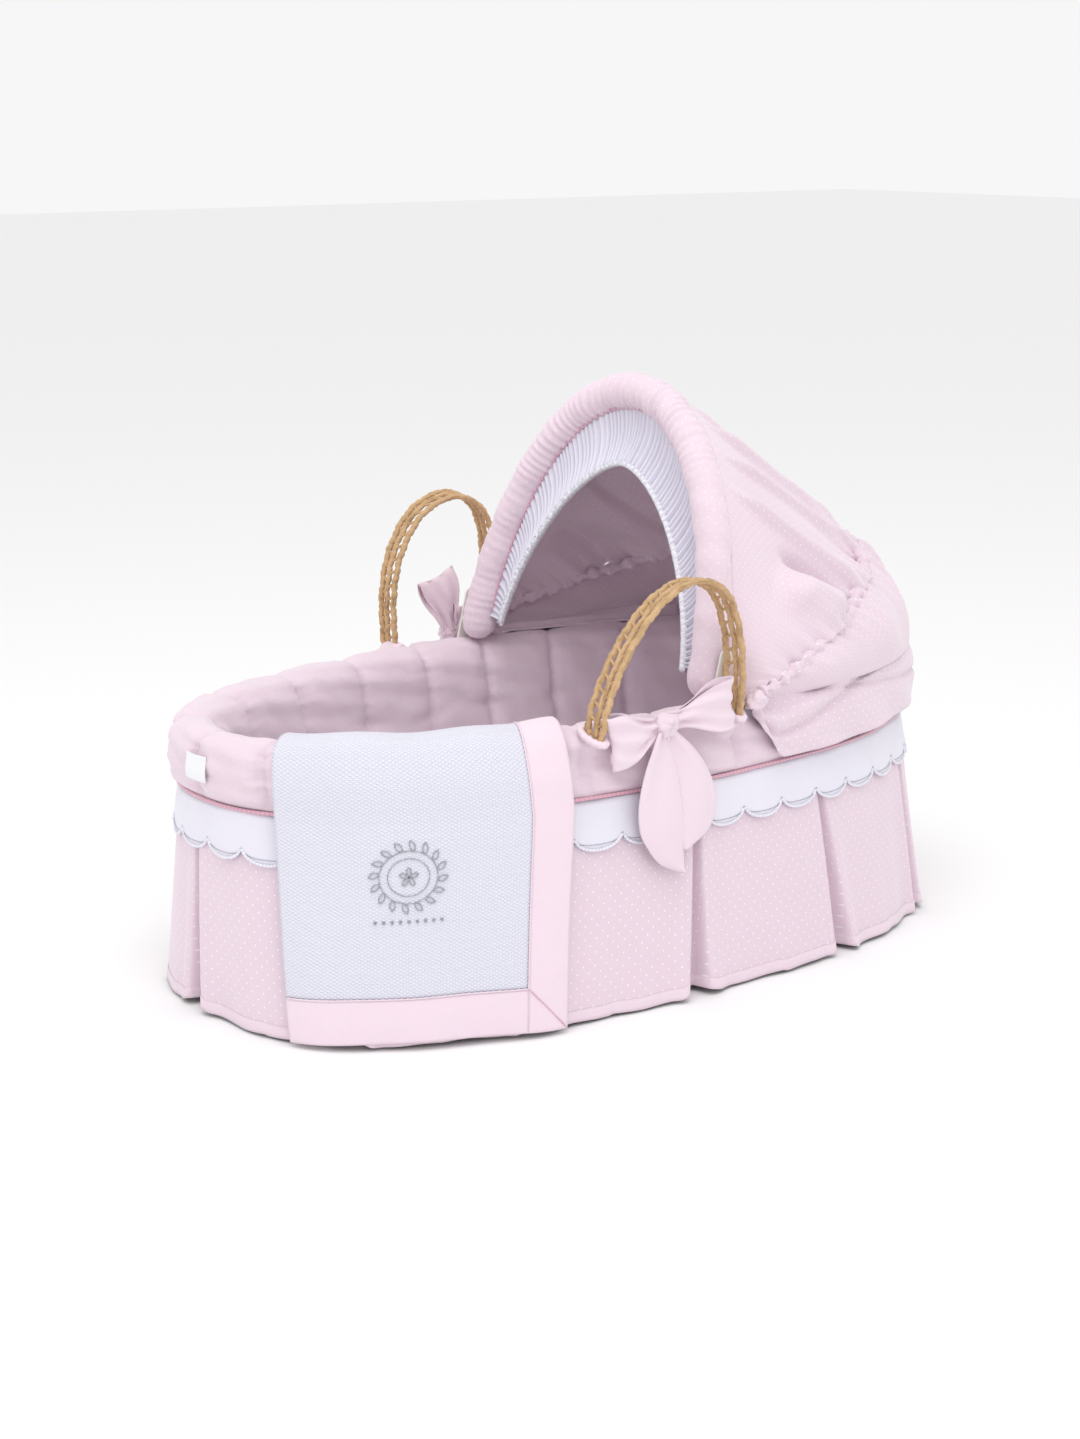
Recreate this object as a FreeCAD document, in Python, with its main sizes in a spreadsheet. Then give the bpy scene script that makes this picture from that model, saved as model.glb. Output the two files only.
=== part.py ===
"""Dressed Moses basket (baby cradle), millimetres.

+X is the head end with the hood, -Y the side with the large bow, +Z up, and the basket stands on z = 0.
"""

import FreeCAD, Part
import math
import os

Vec = FreeCAD.Vector
doc = FreeCAD.newDocument("moses_basket")

# ---------------------------------------------------------------- driving dimensions
DIMENSIONS = [
    ("basket_top_a", 388, "half length of the woven wall at its top, outside"),
    ("basket_top_b", 186, "half width there"),
    ("basket_base_a", 352, "half length at the floor, outside"),
    ("basket_base_b", 166, "half width there"),
    ("wall_height", 243, "top edge of the woven wall"),
    ("wall_thick", 8, "palm wall"),
    ("floor_thick", 8, "palm floor"),
    ("braid_size", 7, "height of the braid that closes the wall"),
    ("oval_power", 2.2, "roundness of the upper ovals"),
    ("rim_a", 410.6, "half length over the padded rim"),
    ("rim_b", 207, "half width over the padded rim"),
    ("rim_top", 264, "height of the padded rim"),
    ("rim_width", 46, "width of the padded rim"),
    ("cuff_a", 405, "half length at the lower edge of the cuff"),
    ("cuff_b", 222.8, "half width there"),
    ("cuff_low", 205, "height of the lower edge of the cuff"),
    ("cuff_thick", 11, "wadding of the cuff"),
    ("hem_a", 405.5, "half length of the skirt hem"),
    ("hem_b", 239.8, "half width of the skirt hem"),
    ("hem_power", 2.65, "roundness of the hem"),
    ("hem_gap", 3, "hem above the floor"),
    ("skirt_thick", 3, "skirt cloth with its pleats"),
    ("band_low", 158, "lowest point of the scallops"),
    ("scallop_pitch", 50, "width of one scallop"),
    ("piping_size", 5, "piping diameter"),
    ("liner_thick", 12, "wadding of the inner wall"),
    ("board_thick", 4, "stiff board"),
    ("mattress_thick", 40, "foam mattress"),
    ("sheet_thick", 1.5, "fitted sheet"),
    ("hoop_x", 29.6, "where the hoop meets the rim"),
    ("hoop_z", 266.5, "height there"),
    ("hoop_b", 179.6, "half width of the hoop"),
    ("hoop_height", 278.9, "height of the hoop in its own plane"),
    ("hoop_lean", 13.9, "lean of the hoop towards the head, degrees"),
    ("pivot_up", 19, "hood pivot above the hoop foot, in the hoop plane"),
    ("sleeve_radius", 18, "padded sleeve"),
    ("rod_radius", 4, "hoop rod"),
    ("plug_radius", 8, "end plug of the rod"),
    ("plug_length", 30, "end plug"),
    ("pin_radius", 3, "hood pin"),
    ("pin_play", 0.3, "play of the pin in its bracket"),
    ("frill_b", 146, "half width inside the frill"),
    ("frill_height", 207, "height inside the frill, from the hoop foot"),
    ("frill_power", 1.65, "roundness of its elastic edge"),
    ("casing_x", 50, "foot of the gathered casing"),
    ("casing_z", 275, "height there"),
    ("casing_tilt", 73, "tilt of the casing from upright, degrees"),
    ("casing_b", 226, "half width of the casing"),
    ("casing_height", 318, "length of the casing arch in its plane"),
    ("casing_power", 1.7, "roundness of the casing"),
    ("cloth_thick", 2.5, "hood cloth with its lining"),
    ("bracket_wide", 14, "hood bracket strip"),
    ("bracket_thick", 2.5, "hood bracket strip"),
    ("bracket_y", 199.5, "inner face of the bracket"),
    ("strap_wide", 28, "width of the palm strap"),
    ("strap_thick", 9, "thickness of the palm strap"),
    ("strap_y", 218, "middle of the strap"),
    ("strap_foot", 262, "axis of the rounded eye at each end of the strap"),
    ("strap_eye", 8, "radius of that eye"),
    ("strap_shoulder", 290, "height at which the strap has its full width"),
]
sheet = doc.addObject("Spreadsheet::Sheet", "Dimensions")
for row, (alias, value, note) in enumerate(DIMENSIONS, start=1):
    sheet.set("A%d" % row, alias)
    sheet.set("B%d" % row, str(value))
    sheet.set("C%d" % row, note)
    sheet.setAlias("B%d" % row, alias)
doc.recompute()


def dim(alias):
    """The value of one named cell of the sheet."""
    return float(getattr(sheet, alias))


SUB_PARTS = []


def publish(obj, label):
    """Marks a document object as a sub-part that gets its own file."""
    obj.Label = label
    SUB_PARTS.append(obj)
    return obj


def feature(label, shape):
    """A sub-part whose form neither sketches nor primitives give."""
    obj = doc.addObject("Part::Feature", label)
    obj.Shape = shape
    return publish(obj, label)


# ---------------------------------------------------------------- ovals and arches
def oval_wire(a, b, power, z, count=48):
    """A closed superellipse in a level plane."""
    points = []
    for step in range(count):
        turn = 2 * math.pi * step / count
        c = math.cos(turn)
        s = math.sin(turn)
        x = a * math.copysign(abs(c) ** (2 / power), c)
        y = b * math.copysign(abs(s) ** (2 / power), s)
        points.append(Vec(x, y, z))
    curve = Part.BSplineCurve()
    curve.interpolate(points, True)
    return Part.Wire([curve.toShape()])


def oval_solid(levels):
    """A solid through level ovals, each (a, b, power, z)."""
    return Part.makeLoft([oval_wire(*level) for level in levels], True, True)


def oval_ring(outer, inner):
    """An upright ring between two stacks of ovals that share their heights."""
    return oval_solid(outer).cut(oval_solid(inner))


def shrink(levels, by):
    return [(a - by, b - by, power, z) for a, b, power, z in levels]


def mixed_level(low, high, z):
    """The oval at height z between two levels."""
    share = (z - low[3]) / (high[3] - low[3])
    return tuple(low[k] + share * (high[k] - low[k]) for k in range(3)) + (z,)


def side_y(level, x):
    """Half width of an oval at x."""
    a, b, power, z = level
    return b * (1 - (abs(x) / a) ** power) ** (1 / power)


def arch_point(foot_x, foot_z, tilt, b, height, power, turn):
    """A point of an arch that stands on the Y direction and tilts towards the head."""
    c = math.cos(turn)
    s = math.sin(turn)
    y = -b * math.copysign(abs(c) ** (2 / power), c)
    rise = height * abs(s) ** (2 / power)
    return Vec(foot_x + rise * math.sin(tilt), y, foot_z + rise * math.cos(tilt))


def arch_curve(foot_x, foot_z, tilt, b, height, power, count=24):
    points = [arch_point(foot_x, foot_z, tilt, b, height, power, math.pi * k / count) for k in range(count + 1)]
    curve = Part.BSplineCurve()
    curve.interpolate(points)
    return curve.toShape()


def arch_band(outer, inner):
    """A closed profile between two arches, each (foot_x, foot_z, tilt, b, height, power)."""
    over = arch_curve(*outer)
    under = arch_curve(*inner)
    over_ends = [over.Vertexes[0].Point, over.Vertexes[-1].Point]
    under_ends = [under.Vertexes[0].Point, under.Vertexes[-1].Point]
    near = Part.LineSegment(under_ends[0], over_ends[0]).toShape()
    far = Part.LineSegment(over_ends[1], under_ends[1]).toShape()
    return Part.Wire(Part.__sortEdges__([over, far, under, near]))


def box(x_low, x_high, y_low, y_high, z_low, z_high):
    return Part.makeBox(x_high - x_low, y_high - y_low, z_high - z_low, Vec(x_low, y_low, z_low))


def mirrored(shape):
    return shape.mirror(Vec(0, 0, 0), Vec(0, 1, 0))


# ---------------------------------------------------------------- levels of the basket
power = dim("oval_power")
wall_low = (dim("basket_base_a"), dim("basket_base_b"), power, 0.0)
wall_high = (dim("basket_top_a"), dim("basket_top_b"), power, dim("wall_height"))
cuff_level = (dim("cuff_a"), dim("cuff_b"), power, dim("cuff_low"))
rim_level = (dim("rim_a"), dim("rim_b"), power, dim("wall_height") + dim("braid_size") + 1)
hem_level = (dim("hem_a"), dim("hem_b"), dim("hem_power"), dim("hem_gap"))
skirt_top = (dim("cuff_a") - 1, dim("cuff_b") - 1, power, dim("cuff_low") - 1)
lean = math.radians(dim("hoop_lean"))
pivot_x = dim("hoop_x") + dim("pivot_up") * math.sin(lean)
pivot_z = dim("hoop_z") + dim("pivot_up") * math.cos(lean)
pivot_y = dim("hoop_b") * math.sqrt(1 - (dim("pivot_up") / dim("hoop_height")) ** 2)
STRAP_LEGS = {-1: (-130.0, 35.0), 1: (-53.0, 50.0)}


# ---------------------------------------------------------------- hood brackets and their fixings
def make_bracket(label, side):
    """Flat strip, a PartDesign pad of a slot outline with the pin hole and two rivet holes."""
    body = doc.addObject("PartDesign::Body", label)
    planes = {item.Role: item for item in body.Origin.OriginFeatures}
    sketch = body.newObject("Sketcher::SketchObject", label + "_outline")
    sketch.AttachmentSupport = [(planes["XZ_Plane"], "")]
    sketch.MapMode = "FlatFace"
    half = dim("bracket_wide") / 2
    low = -82.0
    high = 26.0
    corners = [Vec(-half, low, 0), Vec(half, low, 0), Vec(half, high, 0), Vec(-half, high, 0)]
    sketch.addGeometry(Part.LineSegment(corners[0], corners[1]), False)
    sketch.addGeometry(Part.LineSegment(corners[1], corners[2]), False)
    sketch.addGeometry(Part.ArcOfCircle(Part.Circle(Vec(0, high, 0), Vec(0, 0, 1), half), 0, math.pi), False)
    sketch.addGeometry(Part.LineSegment(corners[3], corners[0]), False)
    hole = dim("pin_radius") + dim("pin_play")
    sketch.addGeometry(Part.Circle(Vec(0, 0, 0), Vec(0, 0, 1), hole), False)
    for rivet in RIVETS_DOWN:
        sketch.addGeometry(Part.Circle(Vec(0, -rivet, 0), Vec(0, 0, 1), RIVET_RADIUS), False)
    pad = body.newObject("PartDesign::Pad", label + "_pad")
    pad.Profile = sketch
    pad.setExpression("Length", "Dimensions.bracket_thick")
    body.Placement = FreeCAD.Placement(
        Vec(pivot_x, side * dim("bracket_y") + (dim("bracket_thick") if side > 0 else 0), pivot_z),
        FreeCAD.Rotation(Vec(0, 1, 0), dim("hoop_lean")),
    )
    doc.recompute()
    return publish(body, label)


RIVETS_DOWN = (50.0, 70.0)
RIVET_RADIUS = 2.0
RIVET_END = 181.0
bracket_near = make_bracket("hood_bracket_near", -1)
bracket_far = make_bracket("hood_bracket_far", 1)


def leaned(up, side_offset):
    """A place on the bracket's middle line, up from the pivot."""
    return Vec(pivot_x + up * math.sin(lean), side_offset, pivot_z + up * math.cos(lean))


def across(centre, radius, y_from, y_to):
    """A cylinder along Y."""
    low = min(y_from, y_to)
    return Part.makeCylinder(radius, abs(y_to - y_from), Vec(centre.x, low, centre.z), Vec(0, 1, 0))


outer_wall = oval_solid([wall_low, wall_high])
bracket_out = dim("bracket_y") + dim("bracket_thick")
rivet_shapes = []
spacer_shapes = []
for side in (-1, 1):
    holes = []
    for down in RIVETS_DOWN:
        place = leaned(-down, 0)
        shank = across(place, RIVET_RADIUS, side * RIVET_END, side * bracket_out)
        head = across(place, 4, side * bracket_out, side * (bracket_out + 1.5))
        rivet_shapes.append(shank.fuse(head))
        holes.append(shank)
    middle = leaned(-60, 0)
    block = box(middle.x - 8, middle.x + 8, -dim("bracket_y"), -170, middle.z - 18, middle.z + 12)
    block = block if side < 0 else mirrored(block)
    block = block.cut(outer_wall)
    for hole in holes:
        block = block.cut(hole)
    spacer_shapes.append(block)
feature("bracket_rivets", Part.makeCompound(rivet_shapes))
feature("bracket_spacers", Part.makeCompound(spacer_shapes))

# ---------------------------------------------------------------- woven basket
wall = dim("wall_thick")
inner_low = mixed_level(wall_low, wall_high, dim("floor_thick"))
hollow = oval_solid(shrink([inner_low, wall_high[:3] + (dim("wall_height"),)], wall))
basket = outer_wall.cut(hollow)
for rivet in rivet_shapes:
    basket = basket.cut(rivet)
feature("basket_shell", basket)

braid_levels = [wall_high, wall_high[:3] + (dim("wall_height") + dim("braid_size"),)]
feature("basket_rim_braid", oval_ring(braid_levels, shrink(braid_levels, wall)))

# ---------------------------------------------------------------- bed
board_low = dim("floor_thick")
board_level = mixed_level(wall_low, wall_high, board_low)
board_levels = [board_level, board_level[:3] + (board_low + dim("board_thick"),)]
feature("base_board", oval_solid(shrink(board_levels, wall + 6)))

bed_inset = wall + dim("liner_thick") + 6
bed_low = board_low + dim("board_thick")
bed_level = mixed_level(wall_low, wall_high, bed_low)
foam_levels = [bed_level, bed_level[:3] + (bed_low + dim("mattress_thick"),)]
foam = oval_solid(shrink(foam_levels, bed_inset))
feature("mattress", foam)
sheet_t = dim("sheet_thick")
cover_levels = [foam_levels[0], bed_level[:3] + (foam_levels[1][3] + sheet_t,)]
cover = oval_solid(shrink(cover_levels, bed_inset - sheet_t)).cut(foam)
feature("fitted_sheet", cover)

# ---------------------------------------------------------------- quilted liner, padded rim, cuff
liner_base = mixed_level(wall_low, wall_high, bed_low + 0.3)
liner_outer = shrink([liner_base, wall_high], wall + 0.3)
feature("quilted_liner", oval_ring(liner_outer, shrink(liner_outer, dim("liner_thick"))))

cap_low = rim_level[3]
cap_height = dim("rim_top") - cap_low
cap_outer = []
cap_inner = []
for step in range(5):
    angle = math.radians(90) * step / 4
    inset = 0.9 * cap_height * (1 - math.cos(angle))
    z = cap_low + cap_height * math.sin(angle)
    cap_outer.append((dim("rim_a") - inset, dim("rim_b") - inset, power, z))
    cap_inner.append((dim("rim_a") - dim("rim_width") + inset, dim("rim_b") - dim("rim_width") + inset, power, z))
rim_roll = oval_ring(cap_outer, cap_inner)

cuff_outer = [cuff_level, rim_level[:3] + (cap_low - 0.3,)]
quilted_cuff = oval_ring(cuff_outer, shrink(cuff_outer, dim("cuff_thick")))


def strap_root(x, side, play):
    """The sewn-in end of a strap: it leaves the wall, rises inside the cuff and comes out of the slit."""
    half = dim("strap_thick") / 2 + play
    y_wall = basket_side(x) - 4
    y_riser = 203.0 - play
    y_out = dim("strap_y") + dim("strap_wide") / 2 + play
    link = box(x - half, x + half, -y_riser - 6 - 2 * play, -y_wall, 186 - play, 198 + play)
    riser = box(x - half, x + half, -y_riser - 6 - 2 * play, -y_riser, 186 - play, 250)
    head = box(x - half, x + half, -y_out, -y_riser, 238 - play, 258 + 3 * play)
    shape = link.fuse(riser).fuse(head)
    return shape if side < 0 else mirrored(shape)


def basket_side(x):
    return side_y(wall_high, x)


def bracket_slot(side):
    shape = box(-dim("bracket_wide") / 2 - 1, dim("bracket_wide") / 2 + 1, -bracket_out - 2.5, -170, -84, 40)
    turn = FreeCAD.Placement(Vec(pivot_x, 0, pivot_z), FreeCAD.Rotation(Vec(0, 1, 0), dim("hoop_lean")))
    shape.Placement = turn
    return shape if side < 0 else mirrored(shape)


for side in (-1, 1):
    for x in STRAP_LEGS[side]:
        quilted_cuff = quilted_cuff.cut(strap_root(x, side, 0.5))
        rim_roll = rim_roll.cut(strap_root(x, side, 0.5))
    quilted_cuff = quilted_cuff.cut(bracket_slot(side))
    rim_roll = rim_roll.cut(box(pivot_x - 16, pivot_x + 6, side * 205 - 7, side * 205 + 7, 240, 270))
feature("padded_rim", rim_roll)
feature("quilted_cuff", quilted_cuff)

# ---------------------------------------------------------------- piping, scalloped band, skirt
pipe_size = dim("piping_size")
piping_levels = [(dim("cuff_a") + 3.6, dim("cuff_b") + 3.6, power, dim("cuff_low") - pipe_size / 2)]
piping_levels.append(piping_levels[0][:3] + (dim("cuff_low") + pipe_size / 2,))
feature("piping", oval_ring(piping_levels, shrink(piping_levels, 3.0)))

skirt_levels = [hem_level, skirt_top]
skirt_solid = oval_solid(skirt_levels)
skirt = skirt_solid.cut(oval_solid(shrink(skirt_levels, dim("skirt_thick"))))
feature("skirt", skirt)

band_thick = 2.0
band_levels = []
for z in (dim("band_low"), dim("cuff_low") - 3):
    level = mixed_level(hem_level, skirt_top, z)
    band_levels.append((level[0] + band_thick, level[1] + band_thick, level[2], z))
band = oval_solid(band_levels).cut(skirt_solid)


def scallop_cut(x, y, along):
    """A wedge that leaves a cusp between two scallops of the band."""
    size = 15.0
    shape = Part.makeBox(size, 40, size, Vec(-size / 2, -20, -size / 2))
    shape.rotate(Vec(0, 0, 0), Vec(0, 1, 0), 45)
    shape.rotate(Vec(0, 0, 0), Vec(0, 0, 1), along)
    shape.translate(Vec(x, y, dim("band_low")))
    return shape


cusp_level = mixed_level(hem_level, skirt_top, dim("band_low"))
cusp_wire = oval_wire(*cusp_level)
cusp_count = int(round(cusp_wire.Length / dim("scallop_pitch")))
cusps = []
for k, point in enumerate(cusp_wire.discretize(cusp_count + 1)[:-1]):
    slope = math.degrees(math.atan2(point.y / cusp_level[1] ** 2, point.x / cusp_level[0] ** 2))
    cusps.append(scallop_cut(point.x, point.y, slope - 90))
band = band.cut(Part.makeCompound(cusps))
feature("scalloped_band", band)

insert_shapes = []
for k in range(10):
    turn = 2 * math.pi * (k + 0.5) / 10
    x = 0.86 * dim("hem_a") * math.cos(turn)
    insert_level = mixed_level(hem_level, skirt_top, 100)
    y = math.copysign(side_y(insert_level, x), math.sin(turn)) - math.copysign(9, math.sin(turn))
    slope = math.atan2(y / insert_level[1] ** 2, x / insert_level[0] ** 2)
    panel = box(-28, 28, -0.75, 0.75, 14, 182)
    panel.rotate(Vec(0, 0, 0), Vec(0, 0, 1), math.degrees(slope) - 90)
    panel.translate(Vec(x - 5 * math.cos(slope), y - 5 * math.sin(slope), 0))
    insert_shapes.append(panel)
insert_room = oval_solid(shrink(skirt_levels, dim("skirt_thick") + 0.3))
feature("pleat_inserts", Part.makeCompound([panel.common(insert_room) for panel in insert_shapes]))


# ---------------------------------------------------------------- palm handles
foot = dim("strap_foot")


def strap_solid(points, side):
    """A flat strap bent along a smooth arch in an upright plane."""
    curve = Part.BSplineCurve()
    curve.interpolate([Vec(x, 0, z) for x, z in points])
    half = dim("strap_thick") / 2
    first = curve.FirstParameter
    last = curve.LastParameter
    outer = []
    inner = []
    for k in range(33):
        u = first + (last - first) * k / 32
        place = curve.value(u)
        along = curve.tangent(u)[0]
        normal = Vec(-along.z, 0, along.x)
        outer.append(place + normal * half)
        inner.append(place - normal * half)
    edges = []
    for line in (outer, list(reversed(inner))):
        rail = Part.BSplineCurve()
        rail.interpolate(line)
        edges.append(rail.toShape())
    edges.insert(1, Part.LineSegment(outer[-1], inner[-1]).toShape())
    edges.append(Part.LineSegment(inner[0], outer[0]).toShape())
    face = Part.Face(Part.Wire(edges))
    wide = dim("strap_wide")
    solid = face.extrude(Vec(0, wide, 0))
    solid.translate(Vec(0, side * dim("strap_y") - wide / 2, 0))
    eye = dim("strap_eye")
    profile = [(-wide / 2, 500), (-wide / 2, dim("strap_shoulder")), (-eye, foot + 1), (-eye, foot - 5)]
    profile += [(-y, z) for y, z in reversed(profile)]
    corners = [Vec(-300, side * dim("strap_y") + y, z) for y, z in profile]
    solid = solid.common(Part.Face(Part.makePolygon(corners + corners[:1])).extrude(Vec(600, 0, 0)))
    for x, z in (points[0], points[-1]):
        place = Vec(x - half, side * dim("strap_y"), foot)
        solid = solid.fuse(Part.makeCylinder(eye, 2 * half, place, Vec(1, 0, 0)))
    return solid


def swing_room(x, lean_to, side, play):
    """The space that the foot of a strap passes through as it swings down."""
    half = dim("strap_thick") / 2 + play
    eye = dim("strap_eye") + play
    wide = dim("strap_wide") / 2 + play
    rise = dim("strap_shoulder") - foot
    pad = [(-eye, 0), (-wide, rise), (-wide, 1.8 * rise), (wide, 1.8 * rise), (wide, rise), (eye, 0)]
    corners = [Vec(x - half, y, z) for y, z in pad]
    leg = Part.Face(Part.makePolygon(corners + corners[:1])).extrude(Vec(2 * half + lean_to, 0, 0))
    if lean_to < 0:
        corners = [Vec(x + half, y, z) for y, z in pad]
        leg = Part.Face(Part.makePolygon(corners + corners[:1])).extrude(Vec(lean_to - 2 * half, 0, 0))
    room = Part.makeCylinder(eye, 2 * half, Vec(x - half, 0, 0), Vec(1, 0, 0))
    for step in range(15):
        turned = leg.copy()
        turned.rotate(Vec(0, 0, 0), Vec(1, 0, 0), -side * 110 * step / 14)
        room = room.fuse(turned)
    room.translate(Vec(0, side * dim("strap_y"), foot))
    return room


near_x = STRAP_LEGS[-1]
far_x = STRAP_LEGS[1]
NEAR_ARCH = [
    (near_x[0], foot), (-116, 306), (-92, 345), (-58, 379), (-18, 392), (17, 376), (33, 334), (near_x[1], foot),
]
FAR_ARCH = [
    (far_x[0], foot), (-54, 318), (-42, 365), (-14, 403), (26, 416), (63, 398), (76, 350), (66, 300),
    (far_x[1], foot),
]
feature("handle_near", strap_solid(NEAR_ARCH, -1))
feature("handle_far", strap_solid(FAR_ARCH, 1))

LEG_DRIFT = {(-1, -130.0): (17.0, -2.0), (-1, 35.0): (2.0, -2.0), (1, -53.0): (2.0, -5.0), (1, 50.0): (18.0, -2.0)}
for side, name in ((-1, "near"), (1, "far")):
    shapes = []
    for x in STRAP_LEGS[side]:
        pad = box(x - 14, x + 14, -basket_side(x) - 6.5, -166, 110, 198)
        pad = pad if side < 0 else mirrored(pad)
        root = strap_root(x, side, 0)
        for drift in LEG_DRIFT[side, x]:
            root = root.cut(swing_room(x, drift, side, 0.4))
        shapes.append(root.fuse(pad).cut(outer_wall))
    feature("handle_anchors_" + name, Part.makeCompound(shapes))

slit_shapes = []
for side in (-1, 1):
    for x in STRAP_LEGS[side]:
        hole = strap_root(x, side, 0.5)
        half = dim("strap_thick") / 2 + 3.5
        y_out = dim("strap_y") + dim("strap_wide") / 2 + 3.5
        frame = box(x - half, x + half, -y_out, -202.5, 251, 259)
        frame = frame if side < 0 else mirrored(frame)
        frame = frame.cut(hole).cut(rim_roll).cut(quilted_cuff).cut(bracket_slot(side))
        for drift in LEG_DRIFT[side, x]:
            frame = frame.cut(swing_room(x, drift, side, 0.7))
        slit_shapes.append(frame)
feature("slit_bindings", Part.makeCompound(slit_shapes))

# ---------------------------------------------------------------- hood frame
hoop_axis = Vec(math.sin(lean), 0, math.cos(lean))


def hoop_pipe(radius, up_from):
    """A round tube along the hoop from a height above its foot."""
    frame_normal = Vec(-math.cos(lean), 0, math.sin(lean))
    centre = Vec(dim("hoop_x"), 0, dim("hoop_z"))
    ellipse = Part.Ellipse()
    ellipse.Center = centre
    ellipse.Axis = frame_normal
    ellipse.MajorRadius = dim("hoop_height")
    ellipse.MinorRadius = dim("hoop_b")
    ellipse.XAxis = hoop_axis
    reach = math.acos(up_from / dim("hoop_height"))
    arc = Part.ArcOfEllipse(ellipse, -reach, reach)
    path = Part.Wire([arc.toShape()])
    begin = path.Edges[0].Curve.value(path.Edges[0].FirstParameter)
    along = path.Edges[0].tangentAt(path.Edges[0].FirstParameter)
    circle = Part.Wire([Part.Circle(begin, along, radius).toShape()])
    return path.makePipeShell([circle], True, False)


pivots = [Vec(pivot_x, side * pivot_y, pivot_z) for side in (-1, 1)]
sleeve_tube = hoop_pipe(dim("sleeve_radius"), dim("pivot_up"))
for pivot in pivots:
    sleeve_tube = sleeve_tube.fuse(Part.makeSphere(dim("sleeve_radius"), pivot))
rod = hoop_pipe(dim("rod_radius"), dim("pivot_up") + 12)

plug_shapes = []
pin_shapes = []
washer_shapes = []
inside_play = 0.15
for side, pivot in zip((-1, 1), pivots):
    pin_in = side * (pivot_y - 12)
    shank = across(pivot, dim("pin_radius"), pin_in, side * (bracket_out + 0.2))
    head = across(pivot, 6, side * (bracket_out + 0.2), side * (bracket_out + 1.4))
    pin_shapes.append(shank.fuse(head))
    base = pivot - hoop_axis * 10
    plug = Part.makeCylinder(dim("plug_radius"), dim("plug_length"), base, hoop_axis)
    plug_shapes.append(plug.cut(shank).cut(rod))
    ring = across(pivot, 7, side * (pivot_y + dim("sleeve_radius") + 0.3), side * (dim("bracket_y") - 0.2))
    washer_shapes.append(ring.cut(across(pivot, dim("pin_radius"), side * 190, side * 210)))
    roomy_plug = Part.makeCylinder(
        dim("plug_radius") + inside_play, dim("plug_length") + 2 * inside_play, base - hoop_axis * inside_play, hoop_axis)
    sleeve_tube = sleeve_tube.cut(roomy_plug)
    sleeve_tube = sleeve_tube.cut(across(pivot, dim("pin_radius") + inside_play, side * 150, side * 210))
sleeve_tube = sleeve_tube.cut(hoop_pipe(dim("rod_radius") + inside_play, dim("pivot_up") + 6))
feature("hoop_rod", rod)
feature("hoop_sleeve", sleeve_tube)
feature("hoop_end_plugs", Part.makeCompound(plug_shapes))
feature("hood_pins", Part.makeCompound(pin_shapes))
feature("pin_washers", Part.makeCompound(washer_shapes))

# ---------------------------------------------------------------- frill inside the hoop
frill_thick = 3.0
frill_foot = dim("hoop_z") + 12
frill_foot_x = dim("hoop_x") + 12 * math.tan(lean)
seam_gap = dim("sleeve_radius") + 0.3
frill_outer = (frill_foot_x, frill_foot, lean, dim("hoop_b") - seam_gap - 0.4,
               dim("hoop_height") - seam_gap - 14, 2.0)
frill_inner = (frill_foot_x, frill_foot, lean, dim("frill_b"), dim("frill_height") - 12, dim("frill_power"))
frill_face = Part.Face(arch_band(frill_outer, frill_inner))
frill_normal = Vec(math.cos(lean), 0, -math.sin(lean))
frill = frill_face.extrude(frill_normal * frill_thick)
frill.translate(frill_normal * (-frill_thick / 2))
frill = frill.cut(hoop_pipe(seam_gap, dim("pivot_up") - 15))
feature("hoop_frill", frill)

# ---------------------------------------------------------------- hood cloth
cloth = dim("cloth_thick")
canopy_front_tilt = lean + math.radians(4.6)
casing_tilt = math.radians(dim("casing_tilt"))
front_foot_x = dim("hoop_x") + 30
front_foot_z = dim("hoop_z") + 3
front_outer = (front_foot_x, front_foot_z, math.radians(13.5), dim("hoop_b") + 18, dim("hoop_height") + 13, 2.0)
front_inner = (front_foot_x, front_foot_z, math.radians(13.5), dim("hoop_b") + 18 - cloth,
               dim("hoop_height") + 13 - cloth, 2.0)
back_foot = (dim("casing_x") + 14, dim("casing_z"), casing_tilt)
back_outer = back_foot + (dim("casing_b") - 8, dim("casing_height") - 24, dim("casing_power"))
back_inner = back_foot + (dim("casing_b") - 8 - cloth, dim("casing_height") - 24 - cloth, dim("casing_power"))
canopy = Part.makeLoft([arch_band(front_outer, front_inner), arch_band(back_outer, back_inner)], True, True)
feature("hood_canopy", canopy)

casing_size = 6.0
casing_outer = (dim("casing_x") + 12, dim("casing_z") + 1, casing_tilt, dim("casing_b"), dim("casing_height"),
                dim("casing_power"))
casing_inner = casing_outer[:3] + (dim("casing_b") - casing_size, dim("casing_height") - casing_size,
                                   dim("casing_power"))
casing_face = Part.Face(arch_band(casing_outer, casing_inner))
casing = casing_face.extrude(Vec(math.cos(casing_tilt), 0, -math.sin(casing_tilt)) * casing_size)
casing.translate(Vec(math.cos(casing_tilt), 0, -math.sin(casing_tilt)) * 1.5)
feature("gathered_casing", casing)

rear_levels = []
PUFF_STEPS = ((75.5, 316, 222, 1.7), (84, 342, 221, 1.9), (90, 344, 213, 2.1))
PUFF_FOOT = (72.0, 270.5)
for tilt_degrees, reach, half_width, roundness in PUFF_STEPS:
    outer = PUFF_FOOT + (math.radians(tilt_degrees), half_width, reach, roundness)
    inner = outer[:3] + (half_width - cloth, reach - cloth, roundness)
    rear_levels.append(arch_band(outer, inner))
feature("hood_rear_puff", Part.makeLoft(rear_levels, True, True))

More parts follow.
